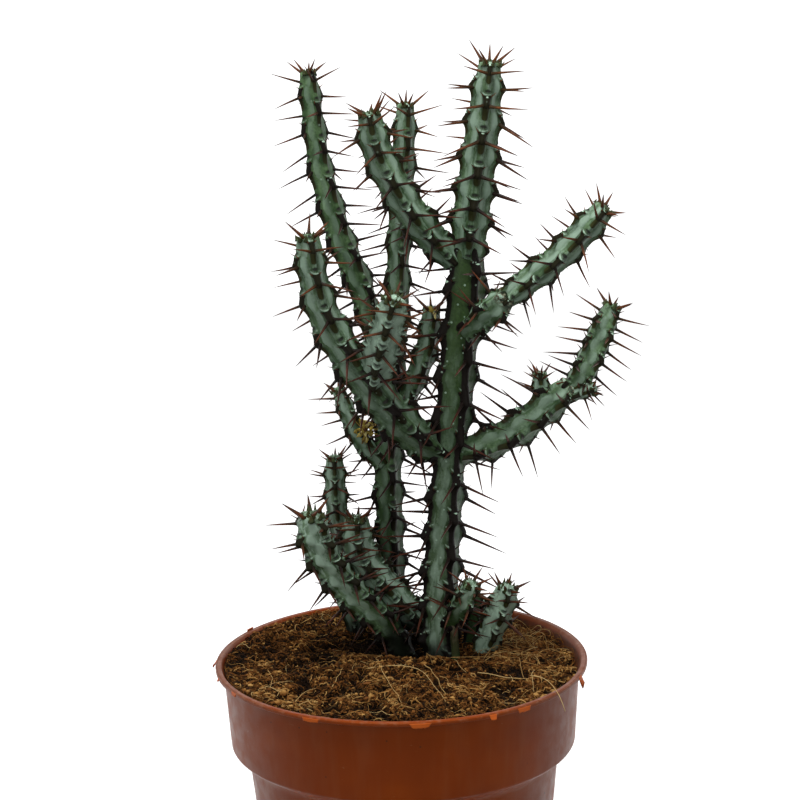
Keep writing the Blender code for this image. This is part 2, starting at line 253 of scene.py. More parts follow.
class StageSettings(bpy.types.PropertyGroup):
    """The floor, lights and camera"""

    key_power: power_setting("Key Light", "Power of the overhead light", 13.6)
    fill_power: power_setting("Fill Light", "Power of the front light", 3.3)
    surround: share_setting("Surround", "Brightness of the room", 0.1, 2.0)
    paper: colour_setting("Paper", "The studio paper", 236, 236, 236)
    lens: FloatProperty(
        name="Lens", description="Focal length in millimetres", default=87.345, min=20.0, max=200.0
    )


SETTINGS = {
    "euphorbia_pot": PotSettings,
    "euphorbia_coir": CoirSettings,
    "euphorbia_stems": StemSettings,
    "euphorbia_spines": SpineSettings,
    "euphorbia_stage": StageSettings,
}

# ---------------------------------------------------------------- small numeric helpers


def smooth_step(low, high, value):
    """0 below low, 1 above high, and smooth between."""
    share = np.clip((value - low) / (high - low), 0.0, 1.0)
    return share * share * (3.0 - 2.0 * share)


def bell(value, width):
    """A bump of height 1 and the given half width."""
    return np.exp(-((value / width) ** 2))


def unit(vectors):
    """The vectors at length 1."""
    return vectors / np.linalg.norm(vectors, axis=-1, keepdims=True)


def round_angles(count):
    """Evenly spaced angles, once round."""
    return math.tau * np.arange(count) / count


def run_lengths(points):
    """Distances along a line of points, from its first one."""
    return np.concatenate([[0.0], np.cumsum(np.linalg.norm(np.diff(points, axis=0), axis=1))])


def level_places(x, y):
    """Places at height 0, for noise that is the same at every height."""
    return np.stack([x, y, np.zeros_like(x)], axis=-1)


# Large odd numbers that scramble a whole-number place and its seed.
PLACE_MIXERS = (374761393, 668265263, 2147483647)
SEED_MIXER = 974711
SECOND_MIXER = 1274126177
KEPT_BITS = 0xFFFF


def lattice_value(cell, seed):
    """A repeatable number from 0 to 1 for each whole-number place."""
    mixed = (cell * np.array(PLACE_MIXERS)).sum(axis=-1) + seed * SEED_MIXER
    mixed = (mixed ^ (mixed >> 13)) * SECOND_MIXER
    mixed = mixed ^ (mixed >> 16)
    return (mixed & KEPT_BITS) / KEPT_BITS


def soft_noise(points, size, seed):
    """Smooth noise from -1 to 1 whose lumps are about size across."""
    place = np.asarray(points, float) / size
    cell = np.floor(place).astype(np.int64)
    share = place - cell
    share = share * share * (3.0 - 2.0 * share)
    total = 0.0
    for corner in range(8):
        step = np.array([corner & 1, corner >> 1 & 1, corner >> 2 & 1])
        weight = np.prod(np.where(step == 1, share, 1.0 - share), axis=-1)
        total = total + weight * lattice_value(cell + step, seed)
    return 2.0 * total - 1.0


def layered_noise(points, size, seed, layers=3):
    """Noise with finer and lower lumps on top of the large ones."""
    finer, lower = 2.1, 0.5
    total = 0.0
    for layer in range(layers):
        total = total + soft_noise(points, size / finer**layer, seed + layer) * lower**layer
    return total / (2.0 - lower ** (layers - 1))


# ---------------------------------------------------------------- meshes


def linked_object(name, data):
    """A new object in the scene."""
    made = bpy.data.objects.new(name, data)
    bpy.context.scene.collection.objects.link(made)
    return made


def new_piece(name, points, faces, material, replaced=(), fields=None):
    """A smooth mesh in metres from millimetre points, riding on the body, with its finish and fields."""
    mesh = bpy.data.meshes.new(name)
    mesh.from_pydata((np.asarray(points) * MM).tolist(), [], faces)
    mesh.polygons.foreach_set("use_smooth", [True] * len(mesh.polygons))
    add_fields(mesh, fields or {})
    mesh.materials.append(material)
    mesh.update()
    piece = linked_object(name, mesh)
    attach(piece, BODY)
    if replaced:
        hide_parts(*replaced)
    return piece


def add_fields(mesh, fields):
    """Stores numbers or places on a mesh's points."""
    for field, values in fields.items():
        values = np.asarray(values, np.float32)
        kind, key = ("FLOAT_VECTOR", "vector") if values.ndim == 2 else ("FLOAT", "value")
        mesh.attributes.new(field, kind, "POINT").data.foreach_set(key, values.ravel())


def ring_faces(rings, around, first=0):
    """Quads between successive rings of points."""
    start = first + around * np.arange(rings - 1)[:, None]
    here = np.arange(around)
    after = (here + 1) % around
    quads = np.stack([start + here, start + around + here, start + around + after, start + after], axis=-1)
    return quads.reshape(-1, 4).tolist()


def end_fans(points, rings, around):
    """Triangles that join a run's first ring to the second last point, and its last ring to the last one."""
    first, last, bottom = len(points) - 2, len(points) - 1, (rings - 1) * around
    faces = []
    for i in range(around):
        j = (i + 1) % around
        faces.append((first, i, j))
        faces.append((last, bottom + j, bottom + i))
    return faces


def end_caps(rings, around):
    """The first and the last ring of a run as two flat faces."""
    last = rings * around
    return [list(range(around)), list(range(last - 1, last - around - 1, -1))]


STEEP = 0.8  # a tube that starts steeper than this takes its sides from +X, not from +Z


class Tubes:
    """Gathers many thin tapered tubes into one mesh, with fields that run along them."""

    def __init__(self, sides):
        self.sides = sides
        self.points = []
        self.faces = []
        self.fields = {}
        self.count = 0

    def add(self, paths, radii, **values):
        """Tubes along paths of equal point counts. Values are numbers, one per tube or one per point."""
        paths = np.asarray(paths, float)
        tubes, steps = paths.shape[:2]
        ahead = unit(np.gradient(paths, axis=1))
        steep = np.abs(ahead[:, :1, 2:]) > STEEP
        helper = np.where(steep, np.array([1.0, 0.0, 0.0]), np.array([0.0, 0.0, 1.0]))
        across = unit(np.cross(ahead, helper))
        other = np.cross(across, ahead)
        angles = round_angles(self.sides)[:, None]
        ring = across[:, :, None, :] * np.cos(angles) + other[:, :, None, :] * np.sin(angles)
        radii = np.broadcast_to(np.asarray(radii, float), (tubes, steps))
        points = paths[:, :, None, :] + ring * radii[:, :, None, None]
        self.points.append(points.reshape(-1, 3))
        sides = np.array(ring_faces(steps, self.sides))
        starts = self.count + steps * self.sides * np.arange(tubes)
        self.faces += (starts[:, None, None] + sides).reshape(-1, 4).tolist()
        foot = np.arange(self.sides)
        tip = (steps - 1) * self.sides + foot[::-1]
        self.faces += (starts[:, None] + foot).tolist()
        self.faces += (starts[:, None] + tip).tolist()
        for key, value in values.items():
            value = np.asarray(value, float)
            if value.shape == (tubes,):
                value = value[:, None]
            column = np.broadcast_to(value, (tubes, steps))
            self.fields.setdefault(key, []).append(np.repeat(column.ravel(), self.sides))
        self.count += points.size // 3

    def piece(self, name, slot, material, replaced=()):
        """The gathered tubes as one object."""
        fields = {key: np.concatenate(parts) for key, parts in self.fields.items()}
        return new_piece(name, np.concatenate(self.points), self.faces, material, replaced, fields)


def turned_solid(path, around):
    """A closed solid of revolution from a path of radius and height that starts and ends on the axis."""
    path = np.asarray(path)
    angles = round_angles(around)
    inner = path[1:-1]
    rings = np.empty((len(inner), around, 3))
    rings[..., 0] = inner[:, :1] * np.cos(angles)
    rings[..., 1] = inner[:, :1] * np.sin(angles)
    rings[..., 2] = inner[:, 1:]
    points = np.vstack([rings.reshape(-1, 3), [0.0, 0.0, path[0, 1]], [0.0, 0.0, path[-1, 1]]])
    return points, ring_faces(len(inner), around) + end_fans(points, len(inner), around)


CORNER_POINTS = 5
LONGEST_ROUNDING = 0.45  # of the straight before or after the corner


def rounded(corners):
    """A path through corners of radius, height and rounding, with each corner eased by its rounding."""
    places = np.array([corner[:2] for corner in corners], float)
    path = [places[0]]
    for i in range(1, len(places) - 1):
        before, here, after = places[i - 1], places[i], places[i + 1]
        shortest = min(np.linalg.norm(before - here), np.linalg.norm(after - here))
        reach = min(corners[i][2], LONGEST_ROUNDING * shortest)
        start, end = here + reach * unit(before - here), here + reach * unit(after - here)
        for t in np.linspace(0.0, 1.0, CORNER_POINTS):
            path.append((1 - t) ** 2 * start + 2 * t * (1 - t) * here + t * t * end)
    path.append(places[-1])
    return np.array(path)


def stepped(path, longest):
    """The path with its straights cut into steps no longer than the longest."""
    points = [path[0]]
    for start, end in zip(path[:-1], path[1:]):
        steps = max(1, int(np.ceil(np.linalg.norm(end - start) / longest)))
        points += [start + (end - start) * step / steps for step in range(1, steps + 1)]
    return np.array(points)


# ---------------------------------------------------------------- materials: shader nodes in short form


class Shader:
    """A material's node tree with short calls for the nodes used here."""

    def __init__(self, name):
        self.material = bpy.data.materials.new(name)
        self.material.use_nodes = True
        self.tree = self.material.node_tree
        self.surface = self.tree.nodes["Principled BSDF"]

    def node(self, kind, values=(), **settings):
        """A node with its settings and its inputs, each a number or another node's output."""
        made = self.tree.nodes.new(kind)
        for key, value in settings.items():
            setattr(made, key, value)
        for key, value in dict(values).items():
            self.put(made.inputs[key], value)
        return made

    def put(self, socket, value):
        """Links or sets one input."""
        if isinstance(value, bpy.types.NodeSocket):
            self.tree.links.new(value, socket)
        else:
            socket.default_value = value

    def field(self, name):
        """A number stored on the mesh."""
        return self.node("ShaderNodeAttribute", attribute_name=name).outputs["Fac"]

    def place(self, name, scale):
        """A place stored on the mesh, scaled on each axis."""
        stored = self.node("ShaderNodeAttribute", attribute_name=name).outputs["Vector"]
        values = {"Vector": stored, "Scale": scale}
        return self.node("ShaderNodeMapping", values).outputs["Vector"]

    def object_place(self, scale):
        """The place on the object, scaled on each axis."""
        values = {"Vector": self.node("ShaderNodeTexCoord").outputs["Object"], "Scale": scale}
        return self.node("ShaderNodeMapping", values).outputs["Vector"]

    def noise(self, place, scale, detail=3.0, rough=0.55):
        """Cloudy noise from 0 to 1."""
        values = {"Vector": place, "Scale": scale, "Detail": detail, "Roughness": rough}
        return self.node("ShaderNodeTexNoise", values).outputs["Fac"]

    def cells(self, place, scale):
        """Distance to the nearest of scattered points."""
        values = {"Vector": place, "Scale": scale}
        return self.node("ShaderNodeTexVoronoi", values, feature="F1").outputs["Distance"]

    def math(self, operation, one, two=0.0, clamp=False):
        """Arithmetic on two numbers."""
        made = self.node("ShaderNodeMath", {0: one, 1: two}, operation=operation, use_clamp=clamp)
        return made.outputs[0]

    def plus(self, one, two):
        """The sum of two numbers."""
        return self.math("ADD", one, two)

    def times(self, one, two, clamp=False):
        """The product of two numbers."""
        return self.math("MULTIPLY", one, two, clamp)

    def between(self, value, low, high, start=0.0, end=1.0):
        """Start below low, end above high, smooth between."""
        values = {"Value": value, "From Min": low, "From Max": high, "To Min": start, "To Max": end}
        made = self.node("ShaderNodeMapRange", values, interpolation_type="SMOOTHSTEP")
        return made.outputs["Result"]

    def mix(self, share, one, two):
        """A colour between two."""
        made = self.node("ShaderNodeMix", data_type="RGBA", blend_type="MIX")
        self.put(made.inputs["Factor"], share)
        self.put(made.inputs[6], one)
        self.put(made.inputs[7], two)
        return made.outputs[2]

    def bump(self, height, distance, strength=1.0, under=None):
        """Fine relief in metres of height."""
        values = {"Height": height, "Distance": distance, "Strength": strength}
        if under is not None:
            values["Normal"] = under
        return self.node("ShaderNodeBump", values).outputs["Normal"]

    def finish(self, **values):
        """Sets the surface's inputs, named with underscores."""
        for key, value in values.items():
            self.put(self.surface.inputs[key.replace("_", " ")], value)
        return self.material


class SkinShader(Shader):
    """A stem's skin: its marks have slightly ragged edges, and its age and wax vary from place to place."""

    def __init__(self, name):
        super().__init__(name)
        self.stem_place = self.place("stem_place", (1.0, 1.0, 1.0))
        self.fine = self.noise(self.stem_place, 1.3, 4.0)
        self.jitter = self.times(self.plus(self.fine, -0.5), 0.42)
        self.streaks = self.noise(self.place("stem_place", (1.0, 1.0, 0.22)), 0.8, 4.0)
        self.clouds = self.noise(self.place("stem_place", (1.0, 1.0, 0.6)), 0.26, 2.0)
        lean = self.plus(self.clouds, -0.5)
        self.age = self.plus(self.field("age"), self.times(lean, 0.45))
        bloom = self.plus(self.field("bloom"), self.times(lean, 0.6))
        self.bloom = self.math("SUBTRACT", bloom, self.times(self.age, 0.45), True)

    def inside(self, field, soft):
        """1 inside an outline and 0 outside it, over a soft edge."""
        return self.between(self.plus(self.field(field), self.jitter), -soft, soft)

    def painted(self, base, field, soft, strength, tone):
        """The base with an outline filled in."""
        return self.mix(self.times(self.inside(field, soft), strength), base, tone)

    def faces(self, look):
        """The green faces, with old wood, wax in streaks, mottling, and pale cheeks beside each shield."""
        shadow = shade_of(look.deep_green, 0.25)
        green = self.mix(self.between(self.clouds, 0.38, 0.62), look.deep_green, look.mid_green)
        green = self.mix(self.between(self.age, 0.4, 0.95, 0.0, 0.9), green, look.old_green)
        waxy = self.times(self.between(self.streaks, 0.44, 0.62, 0.15, 1.0), self.bloom, True)
        green = self.mix(waxy, green, look.bloom)
        thick_wax = self.math("SUBTRACT", self.field("bloom"), 1.0, True)
        thick_wax = self.times(thick_wax, self.between(self.streaks, 0.34, 0.6, 0.4, 1.0))
        green = self.mix(thick_wax, green, shade_of(look.bloom, 1.25))
        dull = self.between(self.streaks, 0.3, 0.52, 0.4, 0.0)
        mottle = self.math("MAXIMUM", self.between(self.fine, 0.34, 0.6, 0.42, 0.0), dull)
        green = self.mix(mottle, green, shadow)
        # The pale cheeks beside each shield are wax and in part a painted highlight on the raised shoulders.
        cheek = self.times(self.inside("cheek", 0.2), self.field("cheek_fade"))
        cheek_wax_and_highlight = self.plus(self.bloom, self.between(self.age, 0.4, 1.0, 0.3, 0.0))
        return self.mix(self.times(cheek, cheek_wax_and_highlight, True), green, look.bloom)

    def areoles(self, green, look):
        """The marks of each areole on the green: shade, eye, brow, crease, tongue, shield and bud."""
        shadow = shade_of(look.deep_green, 0.25)
        hard = self.math("MAXIMUM", self.field("tongue"), self.field("shield"))
        # Painted shade round each shield and tongue.
        beside = self.between(self.plus(hard, self.jitter), -1.2, 0.2, 0.0, 0.55)
        skin = self.mix(beside, green, shadow)
        # Painted shade round the eye's dimple; the eye itself is dark both as its own mark and as painted
        # shade.
        skin = self.painted(skin, "halo", 0.3, 0.7, shadow)
        skin = self.painted(skin, "eye", 0.12, 0.85, look.horn)
        # Pale wax along the ridge over each shield, with a painted highlight on it.
        brow = self.times(self.inside("ridge", 0.14), self.plus(self.bloom, 0.25))
        skin = self.mix(brow, skin, shade_of(look.bloom, 1.25))
        # Painted shade along each crease.
        skin = self.painted(skin, "crease", 0.14, 0.65, shadow)
        tongue_tone = self.mix(self.between(self.age, 0.3, 0.8), look.tongue, look.horn)
        skin = self.mix(self.inside("tongue", 0.16), skin, tongue_tone)
        shield_tone = self.mix(self.between(self.age, 0.1, 0.6, 0.25, 0.0), look.horn, look.tongue)
        skin = self.mix(self.inside("shield", 0.14), skin, shield_tone)
        bud = self.between(self.plus(self.field("bud"), self.times(self.jitter, 0.3)), -0.08, 0.08)
        return self.mix(self.times(bud, 0.9), skin, shade_of(look.bloom, 1.8))

    def weathered(self, skin, look):
        """The skin with corky scars, pale specks, and soil and painted shade near the coir."""
        pale = shade_of(look.bloom, 1.25)
        torn = self.noise(self.stem_place, 0.75, 3.0)
        corky = self.mix(self.between(torn, 0.47, 0.55), look.horn, look.scar)
        corky = self.mix(self.between(torn, 0.57, 0.63), corky, pale)
        skin = self.mix(self.times(self.field("scar"), 0.85), skin, corky)
        specks = self.between(self.cells(self.stem_place, 0.34), 0.09, 0.15, 1.0, 0.0)
        specks = self.times(specks, self.between(self.age, 0.35, 0.8, 0.12, 0.6))
        skin = self.mix(specks, skin, pale)
        # Soil and painted shade: near the coir and among the stems' feet the skin goes nearly black.
        grime_and_shade = self.plus(self.field("grime_and_shade"), self.times(self.jitter, 0.6))
        return self.mix(self.between(grime_and_shade, 0.05, 0.85, 0.0, 0.93), skin, shade_of(look.horn, 0.35))


def stem_skin_material(name, look):
    """Bloomy green skin with dark horny shields, an eye over each and streaks along the stem."""
    shader = SkinShader(name)
    skin = shader.weathered(shader.areoles(shader.faces(look), look), look)
    hard = shader.math("MAXIMUM", shader.inside("tongue", 0.14), shader.inside("shield", 0.14))
    gloss = shader.between(hard, 0.0, 1.0, 0.12, 0.04)
    rough = shader.plus(0.48, shader.times(shader.plus(shader.fine, -0.5), 0.25))
    normal = shader.bump(shader.fine, 0.00014, 0.6)
    normal = shader.bump(shader.streaks, 0.00014, 0.5, normal)
    return shader.finish(Base_Color=skin, Roughness=rough, Normal=normal, Specular_IOR_Level=gloss)


# Nearly black, for soil and painted shade on the spines near the coir.
SOIL_AND_SHADE_BLACK = (0.004, 0.003, 0.002, 1.0)


def spine_material(look):
    """Red-brown spines, dark at the foot and grey at the tip, paler and olive when young."""
    shader = Shader("spine_horn")
    along = shader.field("along_spine")
    grain = shader.noise(shader.object_place((1.0, 1.0, 1.0)), 900.0, 2.0)
    old = shader.mix(shader.between(along, 0.12, 0.58), look.foot, look.shaft)
    young = shader.mix(shader.between(along, 0.05, 0.4), look.olive, look.amber)
    tone = shader.mix(shader.times(shader.field("young"), 0.85), old, young)
    tone = shader.mix(shader.between(along, 0.72, 1.0), tone, look.tip)
    tone = shader.mix(shader.between(grain, 0.35, 0.7, 0.0, 0.35), tone, look.foot)
    tone = shader.mix(shader.times(shader.field("shade"), 0.6), tone, look.foot)
    # Painted shade: each spine's upward-facing side is darkened towards the foot's colour.
    facing = shader.node("ShaderNodeTexCoord").outputs["Normal"]
    upward = shader.node("ShaderNodeSeparateXYZ", {0: facing}).outputs["Z"]
    tone = shader.mix(shader.between(upward, 0.1, 0.9, 0.0, 0.6), tone, look.foot)
    tone = shader.mix(shader.field("leafy"), tone, look.scale)
    # Soil and painted shade: close over the coir and among the stems' feet the spines go nearly black.
    tone = shader.mix(shader.field("grime_and_shade"), tone, SOIL_AND_SHADE_BLACK)
    rough = shader.between(grain, 0.3, 0.7, 0.38, 0.55)
    return shader.finish(Base_Color=tone, Roughness=rough, Specular_IOR_Level=0.1)


LIP_ENDS_BROWN = (0.1, 0.05, 0.03, 1.0)
SPECK_BROWN = (0.02, 0.012, 0.01, 1.0)
STAIN_AND_SHADE_BROWN = (0.018, 0.009, 0.005, 1.0)
PLASTIC_GLINT = (0.9, 0.38, 0.14, 1.0)


def used_plastic(shader, tone, look, place):
    """The plastic darker brown towards the left and right ends of its lip, dusty along it, scuffed, specked,
    and darkened where the coir lies against it, by soil stain and painted shade.
    """
    edge = shader.between(shader.field("under_rim"), 0.1, 1.2, 1.0, 0.0)
    tone = shader.mix(shader.times(edge, 0.12), tone, look.plastic_bright)
    # Darker brown towards the lip's left and right ends.
    sideways = shader.node("ShaderNodeSeparateXYZ", {0: place}).outputs["X"]
    left = shader.between(sideways, -0.058, -0.025, 0.62, 0.0)
    right = shader.between(sideways, 0.015, 0.05, 0.0, 0.5)
    tone = shader.mix(shader.times(edge, shader.plus(left, right)), tone, LIP_ENDS_BROWN)
    rubbed = shader.between(shader.noise(place, 520.0, 4.0), 0.45, 0.75)
    tone = shader.mix(shader.times(shader.times(rubbed, edge), 0.3), tone, look.plastic_dust)
    scuffs = shader.noise(shader.object_place((0.35, 0.35, 1.0)), 420.0, 4.0, 0.7)
    tone = shader.mix(shader.between(scuffs, 0.66, 0.78, 0.0, 0.4), tone, look.plastic_dust)
    specks = shader.between(shader.cells(place, 160.0), 0.035, 0.06, 0.7, 0.0)
    tone = shader.mix(specks, tone, SPECK_BROWN)
    # Soil stain and painted shade: the inner wall under the lip is darkened where the coir lies against it.
    stain_and_shade_strength = shader.between(shader.noise(place, 300.0, 4.0), 0.25, 0.7, 1.0, 0.6)
    return shader.mix(shader.times(stain_and_shade_strength, shader.field("stain_and_shade")), tone, STAIN_AND_SHADE_BROWN)


def plastic_material(name, look, fresh=False):
    """Terracotta plastic with flow clouds, used unless it is fresh, as the brighter flash is."""
    shader = Shader(name)
    place = shader.object_place((1.0, 1.0, 1.0))
    clouds = shader.noise(place, 28.0, 3.0)
    drag = shader.noise(shader.object_place((1.0, 1.0, 0.12)), 190.0, 3.0)
    fine = shader.noise(place, 1400.0, 3.0)
    tone = shader.mix(shader.between(clouds, 0.35, 0.65), look.plastic_dark, look.plastic)
    tone = shader.mix(shader.between(drag, 0.4, 0.8, 0.0, 0.07), tone, look.plastic_dust)
    if fresh:
        tone = shader.mix(shader.between(clouds, 0.3, 0.7, 0.75, 1.0), tone, look.plastic_bright)
    else:
        tone = used_plastic(shader, tone, look, place)
    rough = shader.between(shader.noise(place, 240.0, 4.0), 0.3, 0.7, 0.36, 0.5)
    normal = shader.bump(fine, 0.00004, 0.5)
    normal = shader.bump(drag, 0.00012, 0.35, normal)
    shader.finish(Specular_IOR_Level=0.27, Specular_Tint=PLASTIC_GLINT)
    return shader.finish(Base_Color=tone, Roughness=rough, Normal=normal)


def coir_material(name, look):
    """The packed bed under the loose fibres, with painted shade that makes it nearly black in its gaps and in
    the hollow.
    """
    shader = Shader(name)
    place = shader.object_place((1.0, 1.0, 1.0))
    grain = shader.noise(place, 900.0, 5.0, 0.65)
    strands = shader.noise(shader.object_place((1.0, 0.25, 1.0)), 1300.0, 3.0)
    tone = shader.mix(shader.between(grain, 0.4, 0.68), look.dark, look.middle)
    tone = shader.mix(shader.between(strands, 0.56, 0.74, 0.0, 0.5), tone, look.light)
    # Painted shade: nearly black where the bed lies low under the top and in the hollow among the stems'
    # feet.
    deep = shader.between(shader.field("deep"), 0.1, 0.9, 0.0, 0.95)
    tone = shader.mix(deep, tone, shade_of(look.dark, 0.22))
    height = shader.plus(grain, shader.times(strands, 0.6))
    normal = shader.bump(height, 0.0006, 0.9)
    return shader.finish(Base_Color=tone, Roughness=0.95, Normal=normal, Specular_IOR_Level=0.04)


DEEP_SHADE = (0.006, 0.004, 0.003, 1.0)


def fibre_material(name, look, straw):
    """Coir strands or crumbs, each with its own tone, which also holds painted light and shade, and darkened
    by painted shade where they lie deep; straw is how pale the palest are.
    """
    shader = Shader(name)
    grain = shader.noise(shader.object_place((1.0, 1.0, 1.0)), 1500.0, 3.0)
    tone_field = shader.plus(shader.field("tone"), shader.times(shader.plus(grain, -0.5), 0.3))
    tone = shader.mix(shader.between(tone_field, 0.05, 0.5), look.dark, look.middle)
    tone = shader.mix(shader.between(tone_field, 0.45, 0.95), tone, look.light)
    tone = shader.mix(shader.between(tone_field, 0.7, 1.0, 0.0, straw), tone, look.straw)
    tone = shader.mix(shader.between(shader.field("deep"), 0.15, 0.9, 0.0, 0.92), tone, DEEP_SHADE)
    normal = shader.bump(grain, 0.00015, 0.6)
    return shader.finish(Base_Color=tone, Roughness=0.85, Normal=normal, Specular_IOR_Level=0.06)


def dry_material(name, dark, middle, pale):
    """Dead tissue from dark to pale by each part's tone, with a dry grain."""
    shader = Shader(name)
    grain = shader.noise(shader.object_place((1.0, 1.0, 0.3)), 1100.0, 4.0)
    tone_field = shader.plus(shader.field("tone"), shader.plus(grain, -0.5))
    tone = shader.mix(shader.between(tone_field, 0.1, 0.55), dark, middle)
    tone = shader.mix(shader.between(tone_field, 0.6, 1.1), tone, pale)
    normal = shader.bump(grain, 0.0003, 0.7)
    return shader.finish(Base_Color=tone, Roughness=0.75, Normal=normal, Specular_IOR_Level=0.12)


# ---------------------------------------------------------------- stems: lines read from the frame

LINE_STEP = 1.0
SECTION_AREA = 1.958  # area of a stem's section over its squared rib radius
CAP_FACETS = 8  # a stem's flat end has at least this many facets
FLAT_WITHIN = 0.02
SAME_WAY = 0.999  # the cosine between normals that count as one
CROWN_LENGTH = 3.4  # over this length the frame's stem narrows to its crown
BURIED = 5.0  # how far a shoot's skin runs on into the stem that carries it
SOCKET_DEPTH = 6.0  # a stem that reaches further into the coir than this is rooted in it
MOST_STEPS = 400
LOOK_BACK = 5  # a line's direction is taken over this many points
SETTLED_STEPS = 6  # after these, a jump in the section's area is the stem's end
AREA_JUMP = (0.82, 1.25)
SMALLEST_AREA = 12.0
SEARCH_REACH = 1.9  # in rib radii


def facets_of(node):
    """The node's triangles as corner points in millimetres."""
    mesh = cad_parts[node].data
    mesh.calc_loop_triangles()
    points = np.empty(len(mesh.vertices) * 3)
    mesh.vertices.foreach_get("co", points)
    corners = np.empty(len(mesh.loop_triangles) * 3, np.int64)
    mesh.loop_triangles.foreach_get("vertices", corners)
    return points.reshape(-1, 3)[corners.reshape(-1, 3)] / MM


def crown_of(facets, heading):
    """The middle and outward direction of a stem's flat end at its crown, the one furthest along heading."""
    normals = np.cross(facets[:, 1] - facets[:, 0], facets[:, 2] - facets[:, 0])
    areas = np.linalg.norm(normals, axis=1)
    normals = normals / np.maximum(areas, 1e-9)[:, None]
    best = None
    for normal, corner in zip(normals, facets[:, 0]):
        off = np.abs((facets - corner) @ normal).max(axis=1)
        flat = (off < FLAT_WITHIN) & (normals @ normal > SAME_WAY)
        if flat.sum() < CAP_FACETS:
            continue
        middle = (facets[flat].mean(axis=1) * areas[flat, None]).sum(axis=0) / areas[flat].sum()
        if best is None or middle.dot(heading) > best[0].dot(heading) + 0.01:
            best = (middle, normal)
    if best is None:
        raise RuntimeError("a stem has no flat crown")
    return best


def cut_across(facets, centre, along, reach):
    """Area and middle of the solid's section through centre, at right angles to along."""
    height = (facets - centre) @ along
    above = height > 0.0
    crossing = above.any(axis=1) & ~above.all(axis=1)
    corners, height, above = facets[crossing], height[crossing], above[crossing]
    lone_above = above.sum(axis=1) == 1
    lone = np.where(lone_above, above.argmax(axis=1), (~above).argmax(axis=1))
    rows = np.arange(len(lone))

    def edge_point(step):
        other = (lone + step) % 3
        share = height[rows, lone] / (height[rows, lone] - height[rows, other])
        start = corners[rows, lone]
        return start + (corners[rows, other] - start) * share[:, None]

    one, two = edge_point(1), edge_point(2)
    start = np.where(lone_above[:, None], one, two) - centre
    end = np.where(lone_above[:, None], two, one) - centre
    near = np.linalg.norm((start + end) / 2, axis=1) < reach
    start, end = start[near], end[near]
    twice = np.cross(start, end) @ along
    area = twice.sum() / 2
    if abs(area) < 1e-6:
        return 0.0, centre
    return abs(area), centre + ((start + end) * twice[:, None]).sum(axis=0) / (6 * area)


def marched_down(facets, heading):
    """The middles and areas of a stem's sections, a step apart from its crown down its solid."""
    centre, along = crown_of(facets, heading)
    centres, areas = [centre], [0.0]
    while len(centres) < MOST_STEPS:
        guess = centres[-1] - along * LINE_STEP
        reach = SEARCH_REACH * math.sqrt(max(*areas[-SETTLED_STEPS:], SMALLEST_AREA) / SECTION_AREA)
        area, middle = cut_across(facets, guess, along, reach)
        settled = len(centres) > SETTLED_STEPS
        if area <= 0.0 or settled and not AREA_JUMP[0] < area / areas[-1] < AREA_JUMP[1]:
            break
        centres.append(middle)
        areas.append(area)
        along = unit(centres[max(len(centres) - LOOK_BACK, 0)] - middle)
    return np.array(centres), np.array(areas)


def stem_line(node, heading):
    """Distance from the crown, middle and rib radius along a stem, read from its solid."""
    facets = facets_of(node)
    centres, areas = marched_down(facets, heading)
    fitted = is_fitted(facets)
    if fitted:
        centres, areas = centres[:-1], areas[:-1]
    radii = np.sqrt(areas / SECTION_AREA)
    distance = run_lengths(centres)
    whole = distance > CROWN_LENGTH
    radii = np.interp(distance, distance[whole], radii[whole])
    centres, radii = smoothed(centres, radii)
    if fitted:
        back = unit(centres[-1] - centres[max(len(centres) - LOOK_BACK, 0)])
        centres = np.vstack([centres, centres[-1] + back * BURIED])
        radii = np.append(radii, radii[-1] * 0.9)
    return run_lengths(centres), centres, radii


def is_fitted(facets):
    """True if the stem grows from another stem, and so has no flat lower end in the coir."""
    return facets[..., 2].min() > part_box("coir")[1][2] / MM - SOCKET_DEPTH


def smoothed(centres, radii):
    """The line with facet marks averaged out and its two ends kept."""
    weights = np.array([1.0, 2.0, 3.0, 2.0, 1.0])
    weights /= weights.sum()
    columns = []
    for column in [*centres.T, radii]:
        low, high = column[0], column[-1]
        padded = np.concatenate([2 * low - column[2:0:-1], column, 2 * high - column[-2:-4:-1]])
        columns.append(np.convolve(padded, weights, "valid"))
    return np.array(columns[:3]).T, columns[3]


# ---------------------------------------------------------------- stems: ribs, teeth and areoles

RIBS = 4
FULL_RADIUS = 5.6  # a stem this thick has areoles of full size
FULL_PITCH = 12.0  # and so has one whose areoles are this far apart
SPINE_DOWN = 3.4  # from an areole's upper edge down to its two long spines
SPINE_ACROSS = 1.15  # from the rib's middle to each long spine
FIELD_REACH = 1.5  # outlines are stored up to this far from their edges
CROWN_EDGE = -0.55  # the skin starts this far above the frame's crown
AXIS_SPAN = 1.5  # a stem's direction is taken over this length on either side
TONGUE_LENGTHS = (6.9, 8.6)
NO_BUD = -0.5
FIRST_SEED = 11  # the first stem's seed, and each later stem's is one more


def size_share(value, full):
    """How large an areole's parts are where its stem measures value, as a share of full size."""
    return np.clip(value / full, 0.6, 1.12)


